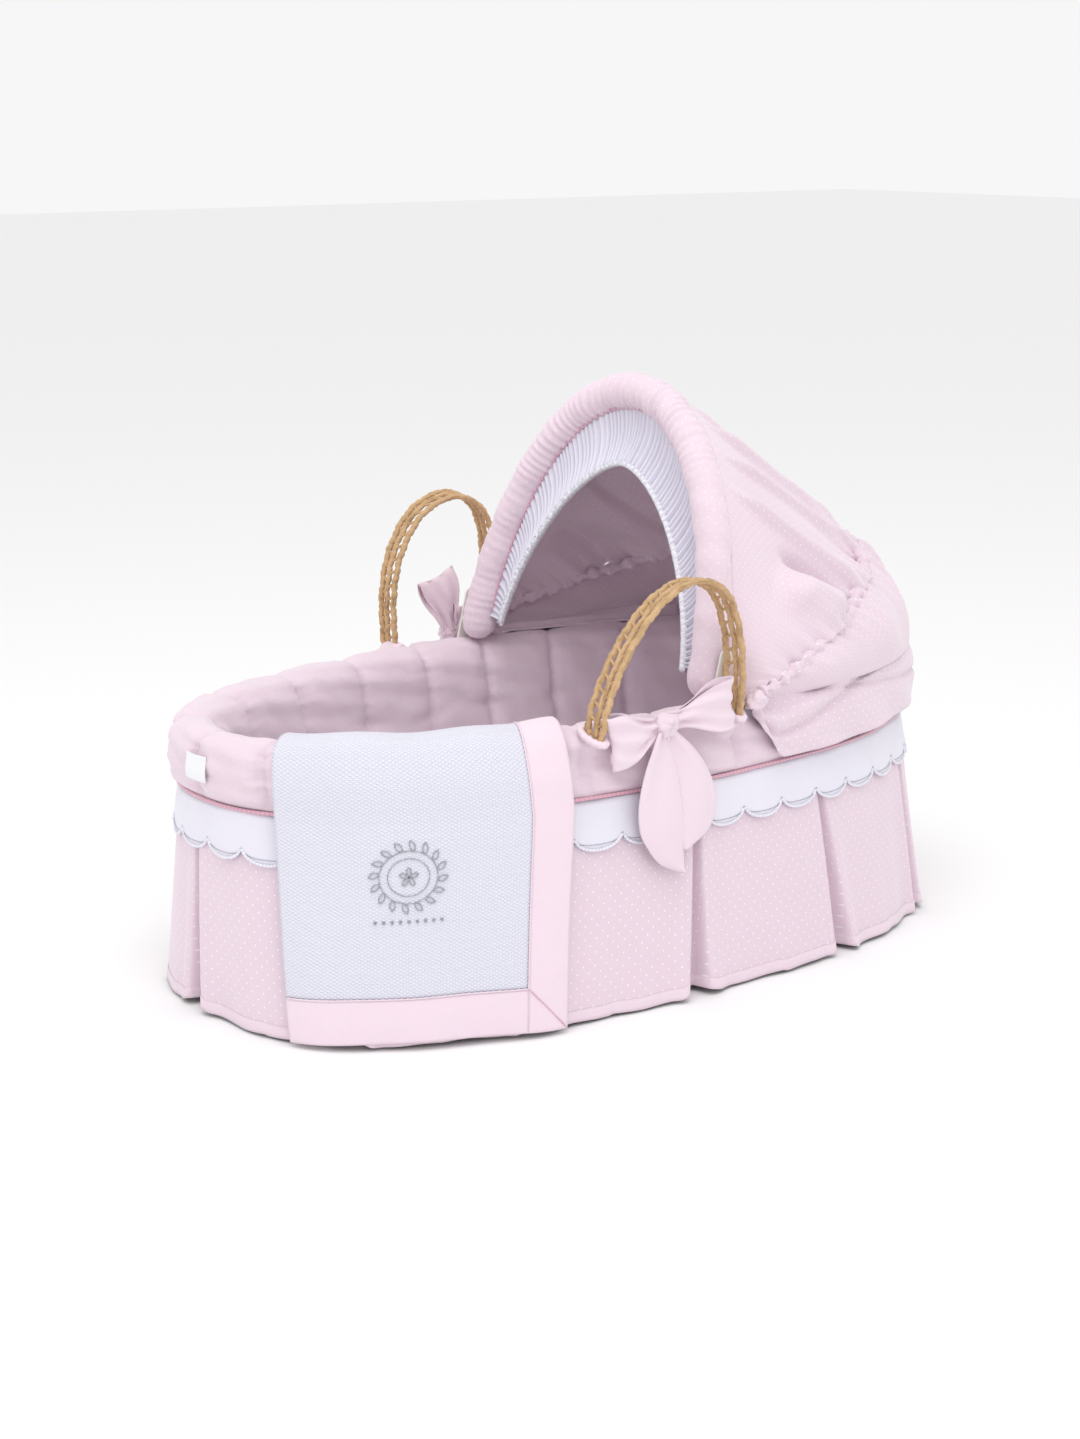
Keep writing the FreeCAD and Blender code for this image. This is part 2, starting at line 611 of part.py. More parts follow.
flap_thick = 3.0
flap_top = (dim("rim_a") + 8, dim("rim_b") + 12, power, dim("rim_top") + 2)
flap_low = (dim("cuff_a") + 13, dim("cuff_b") + 9, power, dim("cuff_low") + 9)
flap_levels = [flap_low, flap_top]
flap_ring = oval_ring(flap_levels, shrink(flap_levels, flap_thick))
flap_window = box(62, 500, -300, 300, 0, 400)
rear_flap = flap_ring.common(flap_window)
roof_levels = [flap_top, flap_top[:3] + (flap_top[3] + flap_thick,)]
roof = oval_ring(roof_levels, shrink(roof_levels, 32)).common(flap_window)
feature("hood_rear_flap", rear_flap.fuse(roof))


# ---------------------------------------------------------------- ties and bows
def pillow(start, end, start_size, end_size):
    """A soft loop: a loft between two flattened ovals, each size (half height, half depth)."""
    along = end - start
    upright = along.cross(Vec(0, 1, 0))
    upright.normalize()
    sections = []
    for share in (0.0, 0.5, 1.0):
        centre = start + along * share
        tall = start_size[0] + (end_size[0] - start_size[0]) * share
        deep = start_size[1] + (end_size[1] - start_size[1]) * math.sin(share * math.pi / 2)
        points = []
        for k in range(16):
            turn = math.pi * k / 8
            points.append(centre + upright * (tall * math.cos(turn)) + Vec(0, 1, 0) * (deep * math.sin(turn)))
        curve = Part.BSplineCurve()
        curve.interpolate(points, True)
        sections.append(Part.Wire([curve.toShape()]))
    return Part.makeLoft(sections, True, True)


def ribbon_plate(outline, y, thick):
    """A hanging ribbon end: an outline in the XZ plane, extruded."""
    points = [Vec(x, y, z) for x, z in outline]
    face = Part.Face(Part.makePolygon(points + points[:1]))
    return face.extrude(Vec(0, thick, 0))


near_loops = [
    pillow(Vec(-70, -231, 268), Vec(-113, -229, 259), (8, 5), (21, 8)),
    pillow(Vec(-52, -231, 269), Vec(18, -230, 277), (8, 5), (19, 8)),
]
knot = Part.makeSphere(9.5, Vec(-61, -231, 267))
feature("bow_near_loops", Part.makeCompound(near_loops).cut(knot))
feature("bow_near_knot", knot)
NEAR_TAIL_LEFT = [(-66, 256), (-86, 222), (-92, 185), (-78, 152), (-41, 126), (-47, 190), (-57, 256)]
NEAR_TAIL_RIGHT = [(-56, 256), (-44, 160), (-20, 160), (-4, 182), (-4, 200), (-26, 236), (-44, 256)]
near_tails = [ribbon_plate(outline, -239, 3) for outline in (NEAR_TAIL_LEFT, NEAR_TAIL_RIGHT)]
near_tails = Part.makeCompound(near_tails).cut(knot)
feature("bow_near_tails", near_tails)

far_centre = Vec(34, 229, 266)
far_knot = Part.makeSphere(9.3, far_centre)
far_loops = [
    pillow(Vec(28, 227, 272), Vec(14, 227, 312), (8, 5), (18, 6)),
    pillow(Vec(39, 227, 271), Vec(42, 227, 290), (6, 5), (8, 5)),
]
feature("bow_far_loops", Part.makeCompound(far_loops).cut(far_knot))
feature("bow_far_knot", far_knot)
FAR_TAIL_LEFT = [(28, 255), (6, 214), (2, 178), (24, 142), (34, 200), (36, 255)]
FAR_TAIL_RIGHT = [(38, 255), (40, 150), (56, 165), (60, 190), (52, 230), (44, 255)]
far_tails = [ribbon_plate(outline, 236, 3) for outline in (FAR_TAIL_LEFT, FAR_TAIL_RIGHT)]
feature("bow_far_tails", Part.makeCompound(far_tails).cut(far_knot))

# ---------------------------------------------------------------- blanket over the near side
BLANKET_LEFT = -381.0
BLANKET_LEFT_Y = -117.0
BLANKET_RIGHT = -165.0
PANEL_RIGHT = -204.0
PANEL_LOW = 46.0
blanket_thick = 4.0
gap = 4.0
hang_high = (dim("rim_a") + gap, dim("rim_b") + gap + 4, power, dim("rim_top") + gap)
hang_mid = (dim("cuff_a") + gap + 8, dim("cuff_b") + gap + 4, power, dim("cuff_low"))
hang_low = (dim("hem_a") + gap + 6, dim("hem_b") + gap + 1, dim("hem_power"), 4.0)
hang_levels = [hang_low, hang_mid, hang_high]
hang = oval_ring([(a + blanket_thick, b + blanket_thick, n, z) for a, b, n, z in hang_levels], hang_levels)
top_levels = [hang_high, hang_high[:3] + (hang_high[3] + blanket_thick,)]
over = oval_ring([(a + blanket_thick, b + blanket_thick, n, z) for a, b, n, z in top_levels],
                 shrink(top_levels, dim("rim_width") + gap + 10))
inside_high = (dim("rim_a") - dim("rim_width") - gap, dim("rim_b") - dim("rim_width") - gap, power, hang_high[3])
inside_low = inside_high[:3] + (190.0,)
inside_low = (inside_low[0] - 6, inside_low[1] - 6, power, 190.0)
inside = oval_ring([inside_low, inside_high], shrink([inside_low, inside_high], blanket_thick))
draped = hang.fuse(over).fuse(inside)
corner = Vec(BLANKET_LEFT, BLANKET_LEFT_Y, 0)
outline = [corner + Vec(100, 100, 0), corner + Vec(-200, -200, 0), Vec(BLANKET_RIGHT, -400, 0), Vec(BLANKET_RIGHT, -17, 0)]
draped = draped.common(Part.Face(Part.makePolygon(outline + outline[:1])).extrude(Vec(0, 0, 400)))
panel_zone = box(-600, PANEL_RIGHT, -600, 0, PANEL_LOW, 400)
feature("blanket_panel", draped.common(panel_zone))
feature("blanket_border", draped.cut(panel_zone))

# ---------------------------------------------------------------- small sewn label at the foot end
label_shape = box(-413, -411.5, -46, -12, 218, 243)
feature("sewn_label", label_shape.cut(quilted_cuff))

# ---------------------------------------------------------------- check and export
doc.recompute()
os.makedirs("parts", exist_ok=True)
for item in doc.Objects:
    if "Invalid" in item.State or "Error" in item.State:
        raise RuntimeError("bad state: %s %s" % (item.Label, item.State))
for item in SUB_PARTS:
    if item.Shape.isNull() or not item.Shape.isValid() or not item.Shape.Solids:
        raise RuntimeError("bad shape: %s" % item.Label)
    item.Shape.exportStep("parts/%s.step" % item.Label)
print(len(SUB_PARTS), "sub-parts")
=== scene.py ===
"""Dressed Moses basket: quilted lining, pleated skirt, folding hood, palm handles, bows and blanket."""

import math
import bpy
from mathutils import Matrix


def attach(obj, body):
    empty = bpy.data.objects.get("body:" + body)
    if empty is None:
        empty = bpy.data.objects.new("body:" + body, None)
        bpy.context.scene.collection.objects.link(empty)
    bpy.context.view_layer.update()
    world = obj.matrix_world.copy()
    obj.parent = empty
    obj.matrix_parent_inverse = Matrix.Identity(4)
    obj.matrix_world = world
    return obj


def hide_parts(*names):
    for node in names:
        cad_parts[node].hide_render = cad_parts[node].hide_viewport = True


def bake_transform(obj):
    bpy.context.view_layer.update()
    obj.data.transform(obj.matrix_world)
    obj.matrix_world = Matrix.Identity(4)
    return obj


bl_info = {
    "name": "Moses Basket Dresser",
    "version": (1, 0, 0),
    "blender": (4, 5, 0),
    "location": "3D View > Sidebar > Moses Basket",
    "description": "Sews the cloth, palm and trim of a dressed Moses basket round its frame",
    "category": "Object",
}

import bpy
import numpy as np
from mathutils import Vector

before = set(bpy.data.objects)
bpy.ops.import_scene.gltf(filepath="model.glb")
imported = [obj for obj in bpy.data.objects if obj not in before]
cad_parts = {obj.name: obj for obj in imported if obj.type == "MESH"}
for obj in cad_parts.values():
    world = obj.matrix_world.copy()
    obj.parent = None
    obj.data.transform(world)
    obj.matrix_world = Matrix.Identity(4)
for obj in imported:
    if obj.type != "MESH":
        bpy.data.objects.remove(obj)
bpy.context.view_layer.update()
TAU = 2 * math.pi
OVAL_POWER = 2.2
SKIRT_HIGH = 0.205
PLEAT_COLUMNS = 90
PIPING_HEIGHT = 0.2052
CLOTH_THICK = 0.0012
RIBBON_THICK = 0.0011
STRAP_MIDDLE = 0.2180
OUTER_CORD, MIDDLE_CORD = 0.0029, 0.0026
KNOB_GAP, TIE_GAP = 0.0085, 0.0135


# ---------------------------------------------------------------- sizes and colours
class BasketSizes(bpy.types.PropertyGroup):
    """Sizes of the dressed basket, in metres."""

    hem_height: bpy.props.FloatProperty(
        name="Hem", description="Height of the skirt hem", default=0.0035, unit="LENGTH")
    pleats: bpy.props.IntProperty(name="Pleats", description="Box pleats round the skirt", default=12)
    scallops: bpy.props.IntProperty(name="Scallops", description="Scallops round the band", default=41)
    channels: bpy.props.IntProperty(
        name="Channels", description="Quilted channels round the lining", default=22)
    dot_pitch: bpy.props.FloatProperty(
        name="Dot pitch", description="Distance between the pin dots", default=0.0125, unit="LENGTH")
    sleeve_radius: bpy.props.FloatProperty(
        name="Hoop sleeve", description="Radius of the padded hoop", default=0.018, unit="LENGTH")
    frill_gathers: bpy.props.IntProperty(
        name="Frill gathers", description="Gathers round the frill", default=88)
    strap_width: bpy.props.FloatProperty(
        name="Strap width", description="Width of the palm straps", default=0.028, unit="LENGTH")


class BasketColours(bpy.types.PropertyGroup):
    """Colours of the cloth, palm and trim."""

    pink: bpy.props.FloatVectorProperty(
        name="Pink cotton", description="Skirt, hood and lining", subtype="COLOR", default=(0.77, 0.63, 0.71))
    dot: bpy.props.FloatVectorProperty(
        name="Pin dots", description="Woven dots", subtype="COLOR", default=(0.93, 0.89, 0.95))
    bow: bpy.props.FloatVectorProperty(
        name="Bow cotton", description="Bows and ties", subtype="COLOR", default=(0.83, 0.685, 0.765))
    white: bpy.props.FloatVectorProperty(
        name="White cotton", description="Band and frill", subtype="COLOR", default=(0.79, 0.77, 0.86))
    piping: bpy.props.FloatVectorProperty(
        name="Piping", description="Rose piping and seams", subtype="COLOR", default=(0.74, 0.40, 0.50))
    palm: bpy.props.FloatVectorProperty(
        name="Palm", description="Dried palm leaf", subtype="COLOR", default=(0.52, 0.335, 0.165))


def sizes():
    return bpy.context.scene.basket_sizes


def colours():
    return bpy.context.scene.basket_colours


# ---------------------------------------------------------------- ovals and arches of the basket
def build_turn_table():
    """Turn of the superellipse against the share of its length, so that pleats come out evenly."""
    turn = np.linspace(0, TAU, 4001)
    x, y = oval_at_turn(turn, 0.405, 0.230, 2.35)
    step = np.hypot(np.diff(x), np.diff(y))
    length = np.concatenate([[0], np.cumsum(step)])
    return length / length[-1], turn, length[-1]


def oval_at_turn(turn, a, b, power):
    c = np.cos(turn)
    s = np.sin(turn)
    return a * np.sign(c) * np.abs(c) ** (2 / power), b * np.sign(s) * np.abs(s) ** (2 / power)


SHARE_TABLE, TURN_TABLE, ROUND_LENGTH = build_turn_table()


def oval(share, a, b, power):
    """Points and outward directions of an oval; share runs once round, from the head over the far side."""
    turn = np.interp(np.mod(share, 1.0), SHARE_TABLE, TURN_TABLE)
    x, y = oval_at_turn(turn, a, b, power)
    nx = np.sign(x) * np.abs(x / a) ** (power - 1) / a
    ny = np.sign(y) * np.abs(y / b) ** (power - 1) / b
    size = np.hypot(nx, ny) + 1e-12
    return x, y, nx / size, ny / size


def share_at(x, side):
    """Share of the round trip at which the oval passes x on the near (-1) or far (1) side."""
    shares = np.linspace(0.5, 1.0, 4001) if side < 0 else np.linspace(0.0, 0.5, 4001)
    xs = oval(shares, 0.405, 0.230, 2.35)[0]
    return float(shares[np.argmin(np.abs(xs - x))])


def smooth_rows(knots, v):
    """Catmull-Rom through rows of (v, value, value, ...)."""
    knots = np.array(knots, float)
    at = knots[:, 0]
    slopes = np.gradient(knots[:, 1:], at, axis=0)
    k = np.clip(np.searchsorted(at, v, side="right") - 1, 0, len(at) - 2)
    width = at[k + 1] - at[k]
    t = ((v - at[k]) / width)[:, None]
    p0, p1 = knots[k, 1:], knots[k + 1, 1:]
    m0, m1 = slopes[k] * width[:, None], slopes[k + 1] * width[:, None]
    start = (2 * t**3 - 3 * t**2 + 1) * p0 + (t**3 - 2 * t**2 + t) * m0
    return start + (3 * t**2 - 2 * t**3) * p1 + (t**3 - t**2) * m1


def bump_at(value, centre, width):
    return np.exp(-(((value - centre) / width) ** 2))


def smooth_step(low, high, value):
    t = np.clip((value - low) / (high - low), 0, 1)
    return t * t * (3 - 2 * t)


def spow(value, power):
    return np.sign(value) * np.abs(value) ** power


def waver(value, seed, count=5):
    """A smooth seeded wobble between about -1 and 1."""
    rng = np.random.default_rng(seed)
    total = np.zeros_like(value)
    for k in range(count):
        total += np.sin(value * rng.uniform(0.6, 1.7) * (k + 1) + rng.uniform(0, TAU)) / (1 + 0.5 * k)
    return total / 2.2


# ---------------------------------------------------------------- modelling helpers
def deselect():
    if bpy.context.mode != "OBJECT":
        bpy.ops.object.mode_set(mode="OBJECT")
    bpy.ops.object.select_all(action="DESELECT")


def select_only(obj):
    deselect()
    obj.select_set(True)
    bpy.context.view_layer.objects.active = obj


def apply_modifier(obj, kind, **settings):
    select_only(obj)
    modifier = obj.modifiers.new(kind.title(), kind)
    for key, value in settings.items():
        setattr(modifier, key, value)
    bpy.ops.object.modifier_apply(modifier=modifier.name)


def close_seams(obj, distance=0.00002):
    """Welds the two edges of a wrapped cloth and turns every face outwards."""
    select_only(obj)
    bpy.ops.object.mode_set(mode="EDIT")
    bpy.ops.mesh.select_all(action="SELECT")
    bpy.ops.mesh.remove_doubles(threshold=distance)
    bpy.ops.mesh.select_all(action="SELECT")
    bpy.ops.mesh.normals_make_consistent(inside=False)
    bpy.ops.object.mode_set(mode="OBJECT")


def shaped_grid(name, columns, rows, place, cloth=None, flip=False):
    """A flat grid primitive whose points are moved onto a form. place(u, v) gives the points; cloth(u, v) the
    place of each point on the flat cloth in metres, which becomes the UV map."""
    deselect()
    bpy.ops.mesh.primitive_grid_add(x_subdivisions=columns, y_subdivisions=rows, size=2, location=(0, 0, 0))
    obj = bpy.context.active_object
    obj.name = name
    mesh = obj.data
    mesh.name = name
    flat = np.zeros(len(mesh.vertices) * 3)
    mesh.vertices.foreach_get("co", flat)
    flat = flat.reshape(-1, 3)
    u = np.clip((flat[:, 0] + 1) / 2, 0, 1)
    v = np.clip((flat[:, 1] + 1) / 2, 0, 1)
    points = np.array(place(u, v), float)
    mesh.vertices.foreach_set("co", points.reshape(-1))
    loops = np.zeros(len(mesh.loops), int)
    mesh.loops.foreach_get("vertex_index", loops)
    across, along = cloth(u, v) if cloth else (u, v)
    layer = mesh.uv_layers.active or mesh.uv_layers.new(name="Cloth")
    layer.data.foreach_set("uv", np.stack([across[loops], along[loops]], 1).reshape(-1))
    if flip:
        mesh.flip_normals()
    mesh.update()
    return obj


def thicken(obj, thickness, offset=-1.0):
    apply_modifier(obj, "SOLIDIFY", thickness=thickness, offset=offset, use_even_offset=False)


def finish_piece(obj, material, body="root", stands_for=()):
    """Smooth shading, material, body and the CAD nodes that the piece stands for."""
    select_only(obj)
    bpy.ops.object.shade_smooth()
    obj.data.materials.clear()
    obj.data.materials.append(material)
    if body:
        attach(obj, body)
    if stands_for:
        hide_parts(*stands_for)
    return obj


def frames_along(points, up):
    """Two cross directions along a path, with up as a steady hint."""
    tangent = np.gradient(points, axis=0)
    tangent /= np.linalg.norm(tangent, axis=1, keepdims=True) + 1e-12
    side = np.cross(tangent, up)
    side /= np.linalg.norm(side, axis=1, keepdims=True) + 1e-12
    return side, np.cross(side, tangent)


def tube(name, path, radius, length_steps, sides, up, closed=False, flat=1.0):
    """A round or flattened cord along path(t). radius(t, turn) gives its thickness."""
    steps = np.linspace(0, 1, length_steps + 1)
    points = path(steps)
    hint = up(steps) if callable(up) else np.tile(np.array(up, float), (len(steps), 1))
    if closed:
        wrapped = np.vstack([points[-2:-1], points, points[1:2]])
        hints = np.vstack([hint[-2:-1], hint, hint[1:2]])
        side, over = (a[1:-1] for a in frames_along(wrapped, hints))
    else:
        side, over = frames_along(points, hint)
    span = np.concatenate([[0], np.cumsum(np.linalg.norm(np.diff(points, axis=0), axis=1))])
    mean = float(np.mean(radius(steps, 0 * steps)))

    def place(u, v):
        k = np.rint(u * length_steps).astype(int)
        turn = v * TAU
        r = radius(u, turn)
        if not closed:
            r = np.where((k == 0) | (k == length_steps), 0.00001, r)
        aside, above = r * np.cos(turn), r * np.sin(turn) * flat
        return points[k] + side[k] * aside[:, None] + over[k] * above[:, None]

    def cloth(u, v):
        k = np.rint(u * length_steps).astype(int)
        return span[k], v * TAU * mean

    obj = shaped_grid(name, length_steps, sides, place, cloth)
    close_seams(obj, 0.00003)
    return obj


def join_pieces(name, parts):
    deselect()
    for part in parts:
        part.select_set(True)
    bpy.context.view_layer.objects.active = parts[0]
    bpy.ops.object.join()
    obj = bpy.context.active_object
    obj.name = name
    obj.data.name = name
    return obj


# ---------------------------------------------------------------- materials
def nodes_for(name):
    material = bpy.data.materials.new(name)
    material.use_nodes = True
    tree = material.node_tree
    return material, tree, tree.nodes["Principled BSDF"]


def add_node(tree, kind, **settings):
    node = tree.nodes.new(kind)
    for key, value in settings.items():
        if key.startswith("in_"):
            node.inputs[int(key[3:])].default_value = value
        else:
            setattr(node, key, value)
    return node


def link(tree, source, target):
    tree.links.new(source, target)


def math_node(tree, operation, first, second=None, third=None):
    node = add_node(tree, "ShaderNodeMath", operation=operation)
    for index, value in enumerate((first, second, third)):
        if value is None:
            continue
        if isinstance(value, (int, float)):
            node.inputs[index].default_value = value
        else:
            link(tree, value, node.inputs[index])
    return node.outputs[0]


def mix_colour(tree, factor, first, second):
    node = add_node(tree, "ShaderNodeMix", data_type="RGBA")
    for socket, value in ((node.inputs[0], factor), (node.inputs[6], first), (node.inputs[7], second)):
        if isinstance(value, (int, float)):
            socket.default_value = value
        elif isinstance(value, (tuple, list)):
            socket.default_value = tuple(value)[:3] + (1.0,)
        else:
            link(tree, value, socket)
    return node.outputs[2]


def cloth_place(tree):
    return add_node(tree, "ShaderNodeTexCoord").outputs["UV"]


def object_place(tree):
    return add_node(tree, "ShaderNodeTexCoord").outputs["Object"]


def scaled(tree, place, factor, shift=(0, 0, 0)):
    mapping = add_node(tree, "ShaderNodeMapping")
    mapping.inputs["Scale"].default_value = factor if isinstance(factor, tuple) else (factor,) * 3
    mapping.inputs["Location"].default_value = shift
    link(tree, place, mapping.inputs["Vector"])
    return mapping.outputs[0]


def dot_mask(tree, place, pitch, radius):
    """1 inside the staggered pin dots of the cloth."""
    masks = []
    for shift in ((0.0, 0.0, 0.0), (0.5, 0.5, 0.0)):
        cell = add_node(tree, "ShaderNodeVectorMath", operation="FRACTION")
        link(tree, scaled(tree, place, (1 / pitch, 1 / pitch, 0.0), shift), cell.inputs[0])
        centred = add_node(tree, "ShaderNodeVectorMath", operation="SUBTRACT")
        link(tree, cell.outputs[0], centred.inputs[0])
        centred.inputs[1].default_value = (0.5, 0.5, 0.0)
        size = add_node(tree, "ShaderNodeVectorMath", operation="LENGTH")
        link(tree, centred.outputs[0], size.inputs[0])
        edge = add_node(tree, "ShaderNodeMapRange", interpolation_type="SMOOTHSTEP")
        link(tree, size.outputs["Value"], edge.inputs["Value"])
        edge.inputs["From Min"].default_value = 0.7 * radius / pitch
        edge.inputs["From Max"].default_value = 1.25 * radius / pitch
        edge.inputs["To Min"].default_value = 1.0
        edge.inputs["To Max"].default_value = 0.0
        masks.append(edge.outputs[0])
    return math_node(tree, "MAXIMUM", masks[0], masks[1])


def weave_height(tree, place, thread):
    """Fine plain weave: two crossed wave textures."""
    warp = add_node(tree, "ShaderNodeTexWave", wave_type="BANDS", bands_direction="X")
    weft = add_node(tree, "ShaderNodeTexWave", wave_type="BANDS", bands_direction="Y")
    for wave in (warp, weft):
        wave.inputs["Scale"].default_value = 1 / (thread * TAU) * 0.5
        wave.inputs["Distortion"].default_value = 0.6
        link(tree, place, wave.inputs["Vector"])
    return math_node(tree, "MULTIPLY", warp.outputs["Fac"], weft.outputs["Fac"])


def add_bump(tree, shader, height, strength, distance, before=None):
    bump = add_node(tree, "ShaderNodeBump")
    bump.inputs["Strength"].default_value = strength
    bump.inputs["Distance"].default_value = distance
    link(tree, height, bump.inputs["Height"])
    if before is not None:
        link(tree, before, bump.inputs["Normal"])
    if shader is not None:
        link(tree, bump.outputs["Normal"], shader.inputs["Normal"])
    return bump.outputs["Normal"]


def cotton(name, colour, dots=0.8, thread=0.0004, soft=0.0, rough=0.85, sheen=0.35):
    """Cotton cloth with a fine weave, soft colour variation and, where asked, woven pin dots."""
    material, tree, shader = nodes_for(name)
    place = cloth_place(tree)
    noise = add_node(tree, "ShaderNodeTexNoise")
    noise.inputs["Scale"].default_value = 14.0
    noise.inputs["Detail"].default_value = 5.0
    link(tree, object_place(tree), noise.inputs["Vector"])
    base = tuple(colour)
    dark = tuple(c * 0.955 for c in base)
    ground = mix_colour(tree, noise.outputs["Fac"], dark, base)
    slub = add_node(tree, "ShaderNodeTexNoise")
    slub.inputs["Scale"].default_value = 1.0
    slub.inputs["Detail"].default_value = 3.0
    link(tree, scaled(tree, place, (900.0, 90.0, 1.0)), slub.inputs["Vector"])
    slub_mix = math_node(tree, "MULTIPLY", slub.outputs["Fac"], 0.16)
    ground = mix_colour(tree, slub_mix, ground, tuple(min(1.0, c * 1.12) for c in base))
    height = weave_height(tree, place, thread)
    if dots:
        mask = math_node(tree, "MULTIPLY", dot_mask(tree, place, sizes().dot_pitch, 0.00085), dots)
        ground = mix_colour(tree, mask, ground, tuple(colours().dot))
        height = math_node(tree, "ADD", math_node(tree, "MULTIPLY", height, 0.5), mask)
    link(tree, ground, shader.inputs["Base Color"])
    pucker = add_node(tree, "ShaderNodeTexNoise")
    pucker.inputs["Scale"].default_value = 38.0
    pucker.inputs["Detail"].default_value = 4.0
    link(tree, object_place(tree), pucker.inputs["Vector"])
    normal = add_bump(tree, None, pucker.outputs["Fac"], 0.25 + soft, 0.004)
    add_bump(tree, shader, height, 0.35, 0.0002, normal)
    shader.inputs["Roughness"].default_value = rough
    shader.inputs["Sheen Weight"].default_value = sheen
    shader.inputs["Sheen Roughness"].default_value = 0.5
    shader.inputs["Subsurface Weight"].default_value = 0.12
    shader.inputs["Subsurface Radius"].default_value = (0.01, 0.006, 0.006)
    return material


def satin(name, colour, pitch=0.0009):
    """Close satin stitching that shines along its threads; painted shade darkens the grooves between the
    threads.
    """
    material, tree, shader = nodes_for(name)
    place = cloth_place(tree)
    wave = add_node(tree, "ShaderNodeTexWave", wave_type="BANDS", bands_direction="X")
    wave.inputs["Scale"].default_value = 1 / (pitch * TAU) * 0.5
    wave.inputs["Distortion"].default_value = 1.2
    link(tree, place, wave.inputs["Vector"])
    # Painted shade: the colour is darker where the thread bands are low, in the grooves between threads.
    painted_groove_shade = mix_colour(tree, wave.outputs["Fac"], tuple(c * 0.84 for c in colour), tuple(colour))
    link(tree, painted_groove_shade, shader.inputs["Base Color"])
    add_bump(tree, shader, wave.outputs["Fac"], 0.5, 0.0003)
    shader.inputs["Roughness"].default_value = 0.34
    shader.inputs["Sheen Weight"].default_value = 0.4
    return material


def pique(name, colour, pitch=0.0058):
    """White waffle cotton: small raised lozenges in a diamond lattice, with painted shade darkening the
    grooves between them.
    """
    material, tree, shader = nodes_for(name)
    place = cloth_place(tree)
    split = add_node(tree, "ShaderNodeSeparateXYZ")
    link(tree, place, split.inputs[0])
    lengthwise = math_node(tree, "MULTIPLY", split.outputs[1], 1.55)
    total = math_node(tree, "ADD", split.outputs[0], lengthwise)
    spread = math_node(tree, "SUBTRACT", split.outputs[0], lengthwise)
    rise = []
    for diagonal in (total, spread):
        rise.append(math_node(tree, "ABSOLUTE", math_node(tree, "SINE", math_node(
            tree, "MULTIPLY", diagonal, math.pi / pitch))))
    lozenge = math_node(tree, "MULTIPLY", rise[0], rise[1])
    # Painted shade: the grooves between the raised lozenges are coloured darker.
    painted_groove_shade = mix_colour(tree, lozenge, tuple(c * 0.86 for c in colour), tuple(colour))
    link(tree, painted_groove_shade, shader.inputs["Base Color"])
    weave = weave_height(tree, place, 0.0004)
    normal = add_bump(tree, None, lozenge, 0.8, 0.0008)
    add_bump(tree, shader, weave, 0.3, 0.0002, normal)
    shader.inputs["Roughness"].default_value = 0.8
    shader.inputs["Sheen Weight"].default_value = 0.3
    return material


def palm_leaf(name, colour, stretch=(60.0, 900.0, 1.0), use_cloth=True):
    """Dried palm leaf: fibres along the strand, tan with browner flecks."""
    material, tree, shader = nodes_for(name)
    place = cloth_place(tree) if use_cloth else object_place(tree)
    fibre = add_node(tree, "ShaderNodeTexNoise")
    fibre.inputs["Scale"].default_value = 1.0
    fibre.inputs["Detail"].default_value = 6.0
    link(tree, scaled(tree, place, stretch), fibre.inputs["Vector"])
    fleck = add_node(tree, "ShaderNodeTexNoise")
    fleck.inputs["Scale"].default_value = 75.0
    fleck.inputs["Detail"].default_value = 3.0
    link(tree, object_place(tree), fleck.inputs["Vector"])
    ramp = add_node(tree, "ShaderNodeValToRGB")
    base = tuple(colour)
    ramp.color_ramp.elements[0].position = 0.30
    ramp.color_ramp.elements[0].color = (base[0] * 0.42, base[1] * 0.34, base[2] * 0.28, 1)
    ramp.color_ramp.elements[1].position = 0.62
    ramp.color_ramp.elements[1].color = (min(1, base[0] * 1.22), min(1, base[1] * 1.22), base[2] * 1.35, 1)
    middle = ramp.color_ramp.elements.new(0.46)
    middle.color = base + (1,)
    share = math_node(tree, "ADD", math_node(tree, "MULTIPLY", fibre.outputs["Fac"], 0.62),
                      math_node(tree, "MULTIPLY", fleck.outputs["Fac"], 0.38))
    link(tree, share, ramp.inputs["Fac"])
    link(tree, ramp.outputs["Color"], shader.inputs["Base Color"])
    add_bump(tree, shader, fibre.outputs["Fac"], 0.7, 0.0006)
    shader.inputs["Roughness"].default_value = 0.55
    return material


def plain_material(name, colour, rough, metallic=0.0, grain=400.0, strength=0.12):
    """Moulded plastic, board or metal with a fine surface grain."""
    material, tree, shader = nodes_for(name)
    noise = add_node(tree, "ShaderNodeTexNoise")
    noise.inputs["Scale"].default_value = grain
    noise.inputs["Detail"].default_value = 4.0
    link(tree, object_place(tree), noise.inputs["Vector"])
    link(tree, mix_colour(tree, noise.outputs["Fac"], tuple(c * 0.92 for c in colour), tuple(colour)),
         shader.inputs["Base Color"])
    add_bump(tree, shader, noise.outputs["Fac"], strength, 0.0005)
    shader.inputs["Roughness"].default_value = rough
    shader.inputs["Metallic"].default_value = metallic
    return material


